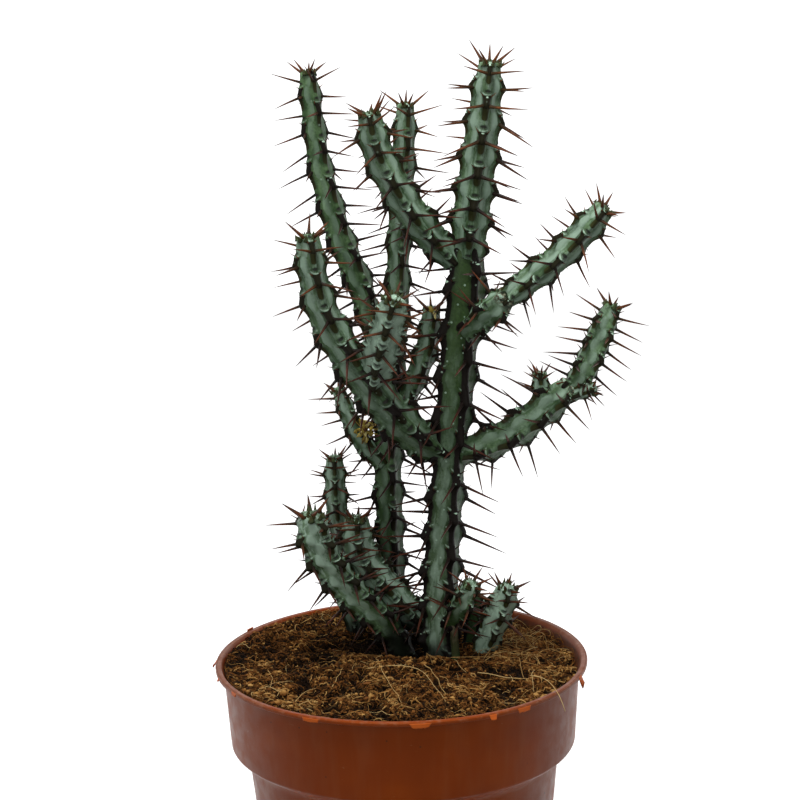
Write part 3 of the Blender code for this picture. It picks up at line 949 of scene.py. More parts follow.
class StemShape:
    """A stem's line, ribs and areoles, and the surface that they give."""

    def __init__(self, look, seed, tooth_height):
        self.look = look
        self.seed = seed
        self.tooth_height = tooth_height
        self.distance, self.centres, self.radii = stem_line(look.node, look.heading)
        self.radii = self.radii * look.slim
        self.length = self.distance[-1]
        self.stations = self.tooth_stations()
        random = np.random.default_rng(seed)
        self.tongue_ends = random.uniform(*TONGUE_LENGTHS, (len(self.stations), RIBS))
        buds = random.uniform(-1.5, 1.0, (len(self.stations), RIBS))
        self.bud_sizes = np.where(buds > 0.0, 0.34 + 0.36 * buds, NO_BUD)

    def tooth_stations(self):
        """Distances from the crown at which spines stand, on one pair of ribs, then on the other."""
        stations = [self.look.first]
        while stations[-1] < self.length + self.look.pitch[1]:
            stations.append(stations[-1] + self.pitch_at(stations[-1]) / 2)
        return np.array(stations)

    def pitch_at(self, at):
        """Tooth spacing at a distance from the crown."""
        near_crown = 0.82 + 0.18 * smooth_step(3.0, 14.0, np.asarray(at))
        return self.between_ends(self.look.pitch, at) * near_crown

    def between_ends(self, ends, at):
        """A number that runs evenly from the crown's to the base's."""
        crown, base = ends
        return crown + (base - crown) * np.clip(np.asarray(at) / self.length, 0.0, 1.0)

    def line_at(self, at):
        """Middle and rib radius at distances from the crown."""
        at = np.asarray(at, float)
        middle = np.stack([np.interp(at, self.distance, column) for column in self.centres.T], axis=-1)
        ahead = np.minimum(at, 0.0)[..., None] * unit(self.centres[1] - self.centres[0])
        return middle + ahead, np.interp(at, self.distance, self.radii)

    def axes_at(self, at):
        """The direction to the crown, the front and the side, at distances from the crown."""
        at = np.clip(at, AXIS_SPAN, self.length - AXIS_SPAN)
        along = unit(self.line_at(at - AXIS_SPAN)[0] - self.line_at(at + AXIS_SPAN)[0])
        front = np.zeros_like(along)
        front[..., 1] = -1.0
        front = unit(front - along * (front * along).sum(axis=-1, keepdims=True))
        return along, front, np.cross(along, front)

    def surface(self, at, angle):
        """Points of the skin at distances from the crown and angles from the first rib, and its fields."""
        middle, radius = self.line_at(at)
        _, front, side = self.axes_at(at)
        turned = angle + math.radians(self.look.turn)
        out = front * np.cos(turned)[..., None] + side * np.sin(turned)[..., None]
        reach, fields = self.reach(at, angle, radius)
        points = middle + out * reach[..., None]
        fields["stem_place"] = np.stack([reach * np.cos(angle), reach * np.sin(angle), at], axis=-1)
        fields["age"] = self.between_ends(self.look.age, at)
        fields["bloom"] = self.between_ends(self.look.bloom, at)
        fields["grime_and_shade"] = soil_and_shade_share(points)
        return points, fields

    def reach(self, at, angle, radius):
        """How far the skin stands from the stem's middle, with the fields that its colours follow."""
        place = np.stack([radius * np.cos(angle), radius * np.sin(angle), at], axis=-1)
        reach = radius * (four_sided(angle) - 0.05 * np.sin(2 * angle) ** 2 - 0.04)
        fields = {}
        grown = 0.45 + 0.55 * smooth_step(0.0, 7.0, at)
        for parity in (0, 1):
            relief, outlines = self.areole_relief(parity, at, angle, radius)
            reach = reach + relief * grown
            if fields:
                nearer = outlines["cheek_fade"] > fields["cheek_fade"]
                outlines["cheek"] = np.where(nearer, outlines["cheek"], fields["cheek"])
                fields["cheek"] = outlines["cheek"]
            for name, outline in outlines.items():
                fields[name] = np.maximum(fields.get(name, -FIELD_REACH), outline)
        scar = np.zeros_like(reach)
        if self.look.scar:
            scar = 1.0 - smooth_step(0.6 * self.look.scar, 1.4 * self.look.scar, at)
            reach = reach + scar * 1.1 * layered_noise(place, 1.7, self.seed + 3)
        fields["scar"] = scar
        uneven = 0.13 * soft_noise(place, 4.0, self.seed) + 0.045 * soft_noise(place, 1.1, self.seed + 7)
        return (reach + uneven) * crown_share(at, radius), fields

    def areole_relief(self, parity, at, angle, radius):
        """Relief and outlines of the areoles on one pair of opposite ribs."""
        stations = self.stations[parity::2]
        pitch = self.pitch_at(at)
        index = np.clip(np.searchsorted(stations, at + 0.58 * pitch) - 1, 0, len(stations) - 1)
        wide = size_share(radius, FULL_RADIUS)
        down = (at - stations[index]) / size_share(pitch, FULL_PITCH) + SPINE_DOWN
        off = np.angle(np.exp(2j * (angle - parity * math.pi / 2))) / 2
        half_turn = np.round((angle - parity * math.pi / 2 - off) / math.pi).astype(int) % 2
        across = np.abs(np.sin(off)) * radius / wide
        station, rib = 2 * index + parity, parity + 2 * half_turn
        aged = smooth_step(0.5, 0.95, self.between_ends(self.look.age, at))
        ends, buds = self.tongue_ends[station, rib], self.bud_sizes[station, rib]
        outlines = areole_outlines(down, across, ends, buds, aged)
        relief = tooth_relief(down, across, outlines, aged, self.tooth_height)
        return relief * wide**1.4, outlines


def soil_and_shade_share(points):
    """1 where a point is darkened, close over the coir and most of all among the stems' feet: soil, and
    painted shade where the feet crowd in the hollow.
    """
    height = points[..., 2] - COIR_HIGH[2] + 3.0
    hollow = hollow_share(points[..., 0], points[..., 1])
    near = (1.0 - smooth_step(-1.0, 11.0, height)) * (0.35 + 0.5 * smooth_step(24.0, 16.0, points[..., 0]))
    deep = 1.0 - smooth_step(3.0, 20.0, height)
    return np.maximum(near, deep * hollow)


def four_sided(angle):
    """A square section with softly rounded corners on the ribs, over its corner radius."""
    soft = 0.075
    corner = math.sqrt(1 + soft * soft) + soft
    return corner / (np.sqrt(np.cos(angle) ** 2 + soft**2) + np.sqrt(np.sin(angle) ** 2 + soft**2))


def crown_share(at, radius):
    """Narrows the stem towards its crown and rounds it off there."""
    narrow = 0.84 + 0.16 * smooth_step(0.0, 6.0, at)
    share = np.clip((at - CROWN_EDGE + 0.03) / (0.34 * radius), 0.0, 1.0)
    return narrow * (1.0 - (1.0 - share) ** 2.3) ** (1 / 2.3)


# Each row is a place down from an areole's upper edge and a distance across from its rib.
SHIELD_SIDE = ((-0.2, 2.25), (0.5, 1.75), (1.2, 1.35), (3.2, 1.15), (4.4, 1.05))
CHEEK_SIDE = ((-1.0, 2.5), (1.0, 2.1), (3.0, 2.0), (5.0, 2.5), (6.5, 3.5))


def read_off(value, rows):
    """The second number of the rows where the first is value, straight between rows."""
    return np.interp(value, *np.transpose(rows))


def areole_outlines(down, across, tongue_end, bud_size, aged):
    """The marks of one areole, each as the distance inside (above 0) or outside (below 0) its edge."""
    half_width = read_off(down, SHIELD_SIDE) + 0.3 * aged
    tongue_half = 1.22 + 0.35 * aged
    end = np.maximum(tongue_end - tongue_half, 3.2)
    tongue = tongue_half - np.hypot(across, np.maximum(down - end, 0.0) + np.maximum(3.0 - down, 0.0))
    crest = -0.35 - 0.17 * across**2
    fold = -0.75 - 0.72 * (across - 1.7)
    crease = 0.16 - 0.8 * np.abs(down - fold) - 0.6 * np.maximum(1.9 - across, 0)
    outlines = {
        "shield": np.minimum(np.minimum(half_width - across, down + 0.15 - 0.1 * across), 4.3 - down),
        "tongue": np.maximum(tongue, 1.35 - across - 3.0 * (1.0 - aged)),
        "bud": bud_size - np.hypot(across * 0.75, (down - 0.3) * 1.7),
        "eye": 0.5 - np.hypot(across * 0.4, down + 1.8),
        "halo": 0.85 - np.hypot(across * 0.5, down + 1.65),
        "ridge": 0.26 - np.abs(down - crest) - 0.5 * np.maximum(across - 1.9, 0.0),
        "crease": crease - 0.25 * np.maximum(across - 2.6, 0),
        "cheek": across - read_off(down, CHEEK_SIDE),
    }
    outlines = {name: np.clip(value, -FIELD_REACH, FIELD_REACH) for name, value in outlines.items()}
    beside = smooth_step(5.4, 3.2, across) * smooth_step(-1.3, 0.2, down)
    outlines["cheek_fade"] = beside * (1 - smooth_step(4.0, 7.5, down))
    return outlines


def tooth_relief(down, across, outlines, aged, tooth_height):
    """How far the skin stands out or in round one areole: the tooth, its knob and the edges of its marks."""
    broad = smooth_step(-4.2, 0.9, down) * (1 - smooth_step(3.5, 7.4, down)) * bell(across, 2.6 - 0.6 * aged)
    knob = bell(down - 2.7, 1.9) * bell(across, 1.5)
    relief = tooth_height * (0.55 * broad + 0.6 * knob)
    relief = relief + (0.3 - 0.2 * aged) * smooth_step(-0.3, 0.3, outlines["cheek"]) * outlines["cheek_fade"]
    relief = relief + 0.32 * smooth_step(-0.3, 0.15, outlines["ridge"])
    relief = relief - 0.4 * smooth_step(-0.1, 0.35, outlines["eye"])
    relief = relief - 0.2 * smooth_step(-0.15, 0.12, outlines["crease"])
    relief = relief + 0.22 * smooth_step(-0.15, 0.3, outlines["shield"])
    relief = relief + 0.3 * bell(down - SPINE_DOWN, 1.2) * bell(across, 1.8)
    return relief + 0.1 * smooth_step(-0.15, 0.3, outlines["tongue"])


RING_SPACING = 0.5
CROWN_RINGS = 8  # the first rings, which stand closer together over the rounded crown
POINTS_PER_FACE = 19


def rib_angles():
    """Angles round a stem, closer together near its ribs."""
    share = np.linspace(-1.0, 1.0, POINTS_PER_FACE, endpoint=False)
    bunched = 1.33 * share - 0.33 * share**3
    quarter = math.pi / 4 * (1 + bunched)
    return np.concatenate([quarter + math.pi / 2 * face for face in range(RIBS)])


def make_skin(shape, material):
    """The stem's skin as one closed mesh."""
    rings = int((shape.length - CROWN_EDGE) / RING_SPACING) + 1
    at = np.linspace(CROWN_EDGE, shape.length, rings)
    share = np.arange(CROWN_RINGS) / CROWN_RINGS
    at[:CROWN_RINGS] = CROWN_EDGE + (at[CROWN_RINGS] - CROWN_EDGE) * share**1.6
    angles = rib_angles()
    grid_at, grid_angle = np.meshgrid(at, angles, indexing="ij")
    points, fields = shape.surface(grid_at, grid_angle)
    around = len(angles)
    faces = ring_faces(rings, around) + end_caps(rings, around)
    flat = {}
    for name, values in fields.items():
        flat[name] = values.reshape(-1, 3) if values.ndim == 3 else values.ravel()
    node = shape.look.node
    new_piece(f"{node}_skin", points.reshape(-1, 3), faces, material, (node,), flat)


# ---------------------------------------------------------------- spines

# Shares of a spine's length, with its radius at each as a share of its thickness.
SPINE_SHARES = (0.0, 0.05, 0.12, 0.3, 0.55, 0.8, 0.94, 1.0)
SPINE_TAPER = (1.45, 1.05, 0.86, 0.7, 0.52, 0.3, 0.14, 0.05)
PRICKLE_SHARES = (0.0, 0.2, 0.55, 1.0)
PRICKLE_TAPER = (0.4, 0.24, 0.15, 0.03)
SPINE_CLEAR = 3.0  # spines start this far over the coir
FOOT_CLEAR = 4.0  # and end this far from the stem's foot
PRICKLE_THICKNESS = 0.9
# How far the spines rise and how far they have grown, by their distance from the crown.
RISE_NEAR_CROWN = ((2.0, 0.4), (8.0, -0.05), (14.0, -0.2), (30.0, -0.28))
GROWTH_NEAR_CROWN = ((0.0, 0.7), (3.0, 1.0))
NEW_SPINES = 5
NEW_SCALES = 30
SPINE_SEED = 500  # added to a stem's own seed


class SpineBundle:
    """Gathers one stem's spines, then makes them as one piece."""

    def __init__(self):
        self.rows = {"long": [], "short": []}

    def add(self, kind, base, direction, bend, length, thick, young, leafy=0.0):
        """One spine: where it stands, the way it points, its bend, its length and thickness, and its tone."""
        if base[2] > COIR_HIGH[2] + SPINE_CLEAR:
            self.rows[kind].append([*base, *direction, *bend, length, thick, young, leafy])

    def piece(self, name, material):
        """All the spines as one object."""
        tubes = Tubes(6)
        kinds = (("long", SPINE_SHARES, SPINE_TAPER), ("short", PRICKLE_SHARES, PRICKLE_TAPER))
        for kind, shares, taper in kinds:
            rows = np.array(self.rows[kind])
            if not len(rows):
                continue
            base, direction, bend = rows[:, None, 0:3], rows[:, None, 3:6], rows[:, None, 6:9]
            length, thick, young, leafy = rows[:, 9:].T
            along = np.array(shares)[None, :, None]
            paths = base + direction * length[:, None, None] * along + bend * along**2
            tubes.add(
                paths,
                thick[:, None] * np.array(taper),
                along_spine=np.array(shares),
                shade=np.random.default_rng(len(rows)).uniform(0.0, 1.0, len(rows)),
                young=young,
                leafy=leafy,
                grime_and_shade=soil_and_shade_share(paths),
            )
        tubes.piece(name, "spine", material)


def make_spines(shape, settings, material):
    """Each areole's two long spines and two prickles, and the new spines round the crown."""
    bundle = SpineBundle()
    draw = np.random.default_rng(shape.seed + SPINE_SEED)
    usual, thick = settings.length / MM, settings.thickness / MM / 2
    for index, station in enumerate(shape.stations):
        if station > shape.length - FOOT_CLEAR:
            break
        for rib in range(index % 2, RIBS, 2):
            add_areole_spines(bundle, shape, draw, float(station), rib * math.pi / 2, usual, thick)
    if not shape.look.scar and shape.look.age[0] < 0.5:
        add_crown_spines(bundle, shape, draw, thick)
    bundle.piece(f"{shape.look.node}_spines", material)


def add_areole_spines(bundle, shape, draw, at, angle, usual, thick):
    """The two long spines and two prickles of one areole."""
    radius = float(shape.line_at(at)[1])
    wide = float(size_share(radius, FULL_RADIUS))
    tall = float(size_share(shape.pitch_at(at), FULL_PITCH))
    turned = angle + math.radians(shape.look.turn)
    along, front, side = shape.axes_at(np.array(at))
    out = front * math.cos(turned) + side * math.sin(turned)
    sideways = side * math.cos(turned) - front * math.sin(turned)
    young = float(1 - smooth_step(4.0, 44.0 * shape.look.spines**2, at)) * (1 - shape.look.age[0])
    young = young * float(smooth_step(0.3, 1.0, shape.look.spines))
    rise = float(read_off(at, RISE_NEAR_CROWN))
    growth = float(read_off(at, GROWTH_NEAR_CROWN)) * (0.7 + 0.3 * wide) * shape.look.spines
    width = thick * (0.4 + 0.3 * wide + 0.3 * shape.look.spines)
    for hand in (-1, 1):
        base = shape.surface(np.array(at), np.array(angle + hand * SPINE_ACROSS * wide / radius))[0]
        slope = rise + draw.uniform(-0.2, 0.2)
        spread = 0.76 + draw.uniform(-0.17, 0.17)
        direction = unit(0.68 * out + hand * spread * sideways + slope * along)
        length = usual * growth * (1 + draw.uniform(-0.15, 0.15))
        bend = draw.normal(size=3) * 0.3
        bundle.add("long", base - direction * 0.6, direction, bend, length, width, young)
        upper = np.array(at - (SPINE_DOWN - 0.3) * tall)
        base = shape.surface(upper, np.array(angle + hand * 1.5 * wide / radius))[0]
        direction = unit(0.55 * out + hand * 0.5 * sideways + (0.6 + draw.uniform(-0.2, 0.2)) * along)
        length = draw.uniform(1.9, 3.5) * wide
        foot = base - direction * 0.25
        bundle.add("short", foot, direction, bend * 0.3, length, PRICKLE_THICKNESS, young)


def add_crown_spines(bundle, shape, draw, thick):
    """New spines and small leafy scales standing up round the growing tip."""
    along, front, side = shape.axes_at(np.array(0.0))
    radius = float(shape.line_at(0.0)[1])
    size = 0.3 + 0.7 * radius / FULL_RADIUS
    young = 0.9 * float(smooth_step(0.3, 1.0, shape.look.spines))
    for turn in range(NEW_SPINES):
        angle = (turn + 0.5) * math.tau / NEW_SPINES + draw.uniform(-0.3, 0.3)
        out = front * math.cos(angle) + side * math.sin(angle)
        base = shape.centres[0] + out * radius * draw.uniform(0.25, 0.5) - along * 0.5
        direction = unit(along * draw.uniform(0.45, 1.3) + out)
        length = draw.uniform(8.5, 13.0) * size * shape.look.spines
        bundle.add("long", base, direction, draw.normal(size=3) * 0.2, length, 1.3 * thick * size, young)
    for _ in range(NEW_SCALES):
        angle = draw.uniform(0.0, math.tau)
        out = front * math.cos(angle) + side * math.sin(angle)
        base = shape.centres[0] + out * radius * draw.uniform(0.05, 0.8) - along * 0.9
        direction = unit(along + out * draw.uniform(0.0, 0.8))
        width = draw.uniform(1.8, 3.4) * size
        length = draw.uniform(1.4, 3.0) * size
        bundle.add("short", base, direction, np.zeros(3), length, width, young=0.3, leafy=0.85)


# ---------------------------------------------------------------- pot

FLOOR = 1.6
LIP_DEPTH = 1.35
UNDER_LIP = 4.5  # above this depth the collar's inside narrows towards the lip
# Outer radii, from the lip down.
COLLAR_TOP = RIM_RADIUS - 2.6
COLLAR_FOOT = RIM_RADIUS - 4.2
BODY_TOP = RIM_RADIUS - 9.6
BASE = RIM_RADIUS - 17.0
HOLE_RADIUS = 3.5
HOLE_CIRCLE = 27.0
HOLES = 6
AROUND_POT = 192
LONGEST_STEP = 3.0
RIPPLE = 0.05  # how far the moulded wall wavers


def angle_of(points):
    """Each point's angle round the pot's axis, from +X in degrees."""
    return np.degrees(np.arctan2(points[..., 1], points[..., 0]))


def degrees_off(angle, middle):
    """How far an angle is from a middle one, from -180 to 180 degrees."""
    return (angle - middle + 180.0) % 360.0 - 180.0


def rim_share(angle, height):
    """How far the soft pot's rim is pushed in or out, as a share of its radius. Angles from +X in degrees."""
    push = 0.008 * bell(degrees_off(angle, 180.0), 30.0) - 0.022 * bell(degrees_off(angle, -95.0), 40.0)
    return 1.0 + push * smooth_step(-70.0, 0.0, height)


def inner_radius(angle, height, settings):
    """The pot's inner radius under its lip, at an angle in degrees and a height from the rim."""
    wall, collar = settings.wall / MM, settings.collar_height / MM
    lip_inner = RIM_RADIUS - settings.lip_width / MM
    heights = (-collar, -UNDER_LIP, -LIP_DEPTH, 0.0)
    radii = (COLLAR_FOOT - wall, COLLAR_TOP - wall, lip_inner - 0.8, lip_inner)
    return np.interp(height, heights, radii) * rim_share(angle, height)


def pot_corners(settings):
    """Radius, height from the rim and rounding: up the inside, over the lip and down the outside."""
    wall, collar, lip = settings.wall / MM, settings.collar_height / MM, settings.lip_width / MM
    floor = FLOOR - RIM_HEIGHT
    lip_inner = RIM_RADIUS - lip
    return (
        (0.0, floor, 0.0),
        (BASE - wall, floor, 2.5),
        (BODY_TOP - wall, -collar - 3.8, 1.5),
        (COLLAR_FOOT - wall, -collar + 1.2, 1.5),
        (COLLAR_TOP - wall, -UNDER_LIP, 1.5),
        (lip_inner - 0.8, -LIP_DEPTH, 0.6),
        (lip_inner, 0.0, 0.3),
        (RIM_RADIUS - 0.62, 0.0, 0.12),
        (RIM_RADIUS - 0.46, -0.26, 0.1),
        (RIM_RADIUS - 0.26, 0.02, 0.14),
        (RIM_RADIUS, -0.3, 0.22),
        (RIM_RADIUS - 0.05, -LIP_DEPTH + 0.1, 0.2),
        (RIM_RADIUS - 0.5, -LIP_DEPTH, 0.2),
        (COLLAR_TOP, -LIP_DEPTH - 0.35, 0.5),
        (COLLAR_FOOT + 0.1, -collar + 0.9, 0.5),
        (COLLAR_FOOT - 0.9, -collar, 0.5),
        (BODY_TOP + 0.6, -collar - 2.4, 0.9),
        (BODY_TOP, -collar - 4.0, 1.2),
        (BASE + 0.1, 1.3 - RIM_HEIGHT, 1.2),
        (BASE - 1.5, -RIM_HEIGHT, 0.8),
        (0.0, -RIM_HEIGHT, 0.0),
    )


def warped(points):
    """Points round the pot's axis, in heights from the floor, pushed with the soft rim."""
    points = np.array(points)
    points[:, :2] *= rim_share(angle_of(points), points[:, 2] - RIM_HEIGHT)[:, None]
    return points


def drain_cutter():
    """Upright plugs for the drain holes, as one helper object in metres."""
    shape = bmesh.new()
    for turn in round_angles(HOLES):
        place = Vector((HOLE_CIRCLE * math.cos(turn), HOLE_CIRCLE * math.sin(turn), 0.0)) * MM
        bmesh.ops.create_cone(
            shape,
            cap_ends=True,
            segments=24,
            radius1=HOLE_RADIUS * MM,
            radius2=HOLE_RADIUS * MM,
            depth=8.0 * MM,
            matrix=Matrix.Translation(place),
        )
    mesh = bpy.data.meshes.new("drain_cutter")
    shape.to_mesh(mesh)
    shape.free()
    return linked_object("drain_cutter", mesh)


def drill(pot):
    """Cuts the drain holes through the pot's floor."""
    cutter = drain_cutter()
    cut = pot.modifiers.new("drain_holes", "BOOLEAN")
    cut.object = cutter
    cut.solver = "EXACT"
    bpy.context.view_layer.update()
    whole = bpy.data.meshes.new_from_object(pot.evaluated_get(bpy.context.evaluated_depsgraph_get()))
    pot.modifiers.clear()
    solid, pot.data = pot.data, whole
    bpy.data.meshes.remove(solid)
    bpy.data.objects.remove(cutter)


def make_pot(settings):
    """The pot: lip, collar, step, tapered body and a floor with drain holes, darkened inside where the coir
    lies, by soil stain and painted shade.
    """
    path = stepped(rounded(pot_corners(settings)), LONGEST_STEP)
    points, faces = turned_solid(path, AROUND_POT)
    points[:, 2] += RIM_HEIGHT
    ripple = soft_noise(points, 24.0, 3)[:, None] * np.array([1.0, 1.0, 0.0])
    points = warped(points) + RIPPLE * ripple * unit(points + 1e-9)
    plastic = plastic_material("pot_plastic", settings)
    pot = new_piece("moulded_pot", points, faces, plastic, ("pot",))
    drill(pot)
    places = np.array([vertex.co[:] for vertex in pot.data.vertices]) / MM
    height = places[:, 2] - RIM_HEIGHT
    inner = inner_radius(angle_of(places), height, settings)
    within = smooth_step(-0.1, 0.1, inner + 0.25 - np.hypot(places[:, 0], places[:, 1]))
    stain_and_shade = within * smooth_step(-0.3, -1.6, height) * smooth_step(-9.0, -7.0, height)
    add_fields(pot.data, {"under_rim": -height, "stain_and_shade": stain_and_shade})


class Flash(NamedTuple):
    """A scrap of moulding flash on the lip: angle from +X, width, drop, reach outwards, lift and taper."""

    angle: float
    width: float
    drop: float
    out: float
    lift: float
    taper: float


FLASHES = (
    Flash(180, 1.7, 1.3, 1.2, 0.3, 0.8),
    Flash(149, 3.2, 0.7, 1.0, 0.9, 0.3),
    Flash(-165, 1.5, 0.5, 0.5, 0.0, 0.3),
    Flash(-151, 3.0, 0.5, 0.2, 0.1, 0.2),
    Flash(-118, 5.8, 0.6, 0.2, 0.0, 0.12),
    Flash(-85, 6.8, 1.1, 0.2, 0.0, 0.22),
    Flash(-63, 2.6, 1.2, 0.7, 0.1, 0.35),
    Flash(-52, 5.2, 1.1, 0.3, 0.0, 0.18),
    Flash(-21, 2.6, 3.2, 1.1, 0.1, 0.12),
)


FLASH_COLUMNS = 13
FLASH_ROWS = 6


def flash_row(flash, ragged, side, share):
    """Points across a flash on its outer or inner side, share of the way from the lip to its ragged edge."""
    across = np.linspace(-0.5, 0.5, FLASH_COLUMNS) * flash.width * (1 - flash.taper * share)
    angle = math.radians(flash.angle) + across / RIM_RADIUS
    thick = 0.34 - 0.16 * share
    radius = RIM_RADIUS - 0.14 + flash.out * share**1.4 + side * thick
    height = RIM_HEIGHT - 0.55 + flash.lift * (1 - share)
    height = height - 0.75 * flash.drop * ragged * share - 0.5 * share + 0.18 * (1 - share)
    return np.stack([radius * np.cos(angle), radius * np.sin(angle), height], axis=-1)


def make_flash(settings):
    """Thin scraps of plastic that the mould left along the lip."""
    points, faces = [], []
    draw = np.random.default_rng(5)
    blunt = 0.35 * np.abs(np.linspace(-1, 1, FLASH_COLUMNS)) ** 6
    for flash in FLASHES:
        faces += plate_faces(FLASH_ROWS, FLASH_COLUMNS, FLASH_COLUMNS * len(points))
        ragged = 1.0 + 0.16 * draw.normal(size=FLASH_COLUMNS) - blunt
        for side in (0.5, -0.5):
            for row in range(FLASH_ROWS):
                points.append(flash_row(flash, ragged, side, row / (FLASH_ROWS - 1)))
    material = plastic_material("flash_plastic", settings, fresh=True)
    new_piece("lip_flash", warped(np.concatenate(points)), faces, material)


def plate_faces(rows, columns, first):
    """Faces of a thin plate from two grids of points, the outer one first."""
    def at(side, row, column):
        return first + (side * rows + row) * columns + column

    faces = []
    for row in range(rows - 1):
        for column in range(columns - 1):
            for side in (0, 1):
                face = [at(side, row, column), at(side, row + 1, column)]
                face += [at(side, row + 1, column + 1), at(side, row, column + 1)]
                faces.append(face if side == 0 else face[::-1])
    edge = [(0, column) for column in range(columns)]
    edge += [(row, columns - 1) for row in range(1, rows)]
    edge += [(rows - 1, column) for column in range(columns - 2, -1, -1)]
    edge += [(row, 0) for row in range(rows - 2, 0, -1)]
    for here, after in zip(edge, edge[1:] + edge[:1]):
        faces.append([at(0, *here), at(0, *after), at(1, *after), at(1, *here)])
    return faces


# ---------------------------------------------------------------- coir

POCKET_DEPTH = 6.2  # facets further below the rim are the floors of the stems' pockets
COIR_EDGE = -2.0  # how high the coir stands at the wall, from the rim
HOLLOW = (-1.0, 21.0)
HOLLOW_WIDTHS = (19.0, 14.0)
FACET_SPREAD = 24.0  # the node's facets are smoothed over places whose squared distance is about this
# The size and the seed of each noise over the coir.
HEAPS = (7.5, 21)
LUMPS = (2.8, 22)
CLODS = (1.3, 23)


def hollow_share(x, y):
    """1 in the hollow among the stems' feet, 0 away from it. The hollow is lowered and given painted shade.
    """
    east, north = (x - HOLLOW[0]) / HOLLOW_WIDTHS[0], (y - HOLLOW[1]) / HOLLOW_WIDTHS[1]
    return smooth_step(0.1, 0.62, np.exp(-(east**2) - north**2))


def patches(x, y):
    """Darker and lighter patches over the coir, from -1 to 1."""
    return np.clip(2.4 * layered_noise(level_places(x, y), 9.0, 26, 4), -1.0, 1.0)


def pits(x, y):
    """1 in the dips of the coir, 0 elsewhere; the dips are lowered and given painted shade."""
    ready = 0.1 * smooth_step(10.0, -20.0, x)
    return smooth_step(0.24 - ready, 0.4 - ready, layered_noise(level_places(x, y), 5.5, 27, 3))


class CoirTop:
    """The height of the coir's surface over the floor, read from its node and made finer."""

    def __init__(self):
        facets = facets_of("coir")
        normals = unit(np.cross(facets[:, 1] - facets[:, 0], facets[:, 2] - facets[:, 0]) + 1e-12)
        tops = facets[normals[:, 2] > 0.6].mean(axis=1)
        tops = tops[tops[:, 2] > RIM_HEIGHT - POCKET_DEPTH]
        self.reach = math.ceil(COIR_HIGH[0]) + 3
        axis = np.arange(-self.reach, self.reach + 1.0)
        x, y = np.meshgrid(axis, axis, indexing="ij")
        away = (x[..., None] - tops[:, 0]) ** 2 + (y[..., None] - tops[:, 1]) ** 2
        weights = np.exp(-away / FACET_SPREAD) + 1e-9
        self.grid = (weights * tops[:, 2]).sum(axis=-1) / weights.sum(axis=-1)

    def smooth(self, x, y):
        """The node's surface with its facets smoothed away."""
        limit = 2 * self.reach - 1.001
        across, along = np.clip(x + self.reach, 0, limit), np.clip(y + self.reach, 0, limit)
        i, j = across.astype(int), along.astype(int)
        u, v = across - i, along - j
        low = self.grid[i, j] * (1 - v) + self.grid[i, j + 1] * v
        high = self.grid[i + 1, j] * (1 - v) + self.grid[i + 1, j + 1] * v
        return low * (1 - u) + high * u

    def dip(self, x, y):
        """How deep a place lies in the gaps between the lumps, up to 1 and below 0 on top of them."""
        flat = level_places(x, y)
        return -1.6 * (soft_noise(flat, *LUMPS) + 0.6 * soft_noise(flat, *CLODS))

    def height(self, x, y):
        """The surface that the crumbs and fibres lie on."""
        flat = level_places(x, y)
        lumps = 0.8 * soft_noise(flat, *HEAPS) + 0.85 * soft_noise(flat, *LUMPS)
        lumps = lumps + 0.45 * soft_noise(flat, *CLODS)
        heaped = 1.6 * smooth_step(40.0, 55.0, np.hypot(x, y)) * smooth_step(10.0, -35.0, x)
        lowered = self.smooth(x, y) - 0.45 - 1.5 * hollow_share(x, y) - 1.8 * pits(x, y)
        return lowered + lumps * (1.0 - 0.35 * heaped) + heaped


BED_AROUND = 200
BED_RINGS = 84
BURIED_RINGS = (0.08, 0.3, 0.6, 1.0)  # shares of the way down from under the lip to the floor


def make_coir_bed(top, settings, pot):
    """The packed coir down to the pot's floor, with a crumbly top."""
    angles = round_angles(BED_AROUND)
    edge = inner_radius(np.degrees(angles), COIR_EDGE, pot) + 0.05
    steps = np.linspace(0.0, 1.0, BED_RINGS + 1)[1:]
    radius = (np.sqrt(steps) * 0.35 + steps * 0.65)[:, None] * edge[None, :]
    x, y = radius * np.cos(angles), radius * np.sin(angles)
    grids = [np.stack([x, y, top.height(x, y)], axis=-1)]
    floor = POT_LOW[2] + FLOOR + 0.3
    for share in BURIED_RINGS:
        height = RIM_HEIGHT - UNDER_LIP + (floor - RIM_HEIGHT + UNDER_LIP) * share
        narrow = 1.0 - 0.16 * smooth_step(RIM_HEIGHT - 24.0, RIM_HEIGHT - 27.0, height) - 0.12 * share
        under = inner_radius(np.degrees(angles), height - RIM_HEIGHT, pot) / edge * 0.999
        narrow = narrow * np.minimum(under, 1.0)
        ring = np.stack([x[-1] * narrow, y[-1] * narrow, np.full(BED_AROUND, height)], axis=-1)
        grids.append(ring[None])
    grid = np.concatenate(grids)
    centre = float(top.height(np.array(0.0), np.array(0.0)))
    points = np.vstack([grid.reshape(-1, 3), [0.0, 0.0, centre], [0.0, 0.0, floor]])
    faces = ring_faces(len(grid), BED_AROUND) + end_fans(points, len(grid), BED_AROUND)
    # Painted shade: the deeper the bed lies under the coir's smoothed top, and in the hollow, the darker it
    # is painted.
    deep = np.clip((top.smooth(points[:, 0], points[:, 1]) - 0.3 - points[:, 2]) / 1.4, 0.0, 1.0)
    fields = {"deep": np.maximum(deep, hollow_share(points[:, 0], points[:, 1]))}
    new_piece("coir_bed", points, faces, coir_material("coir_bed", settings), ("coir",), fields)


def scattered(draw, count, pot):
    """Places spread evenly over the coir, kept inside the pot."""
    angle = draw.uniform(0.0, math.tau, count)
    edge = inner_radius(np.degrees(angle), COIR_EDGE, pot) - 0.5
    radius = np.sqrt(draw.uniform(0.0, 1.0, count)) * edge
    return radius * np.cos(angle), radius * np.sin(angle)


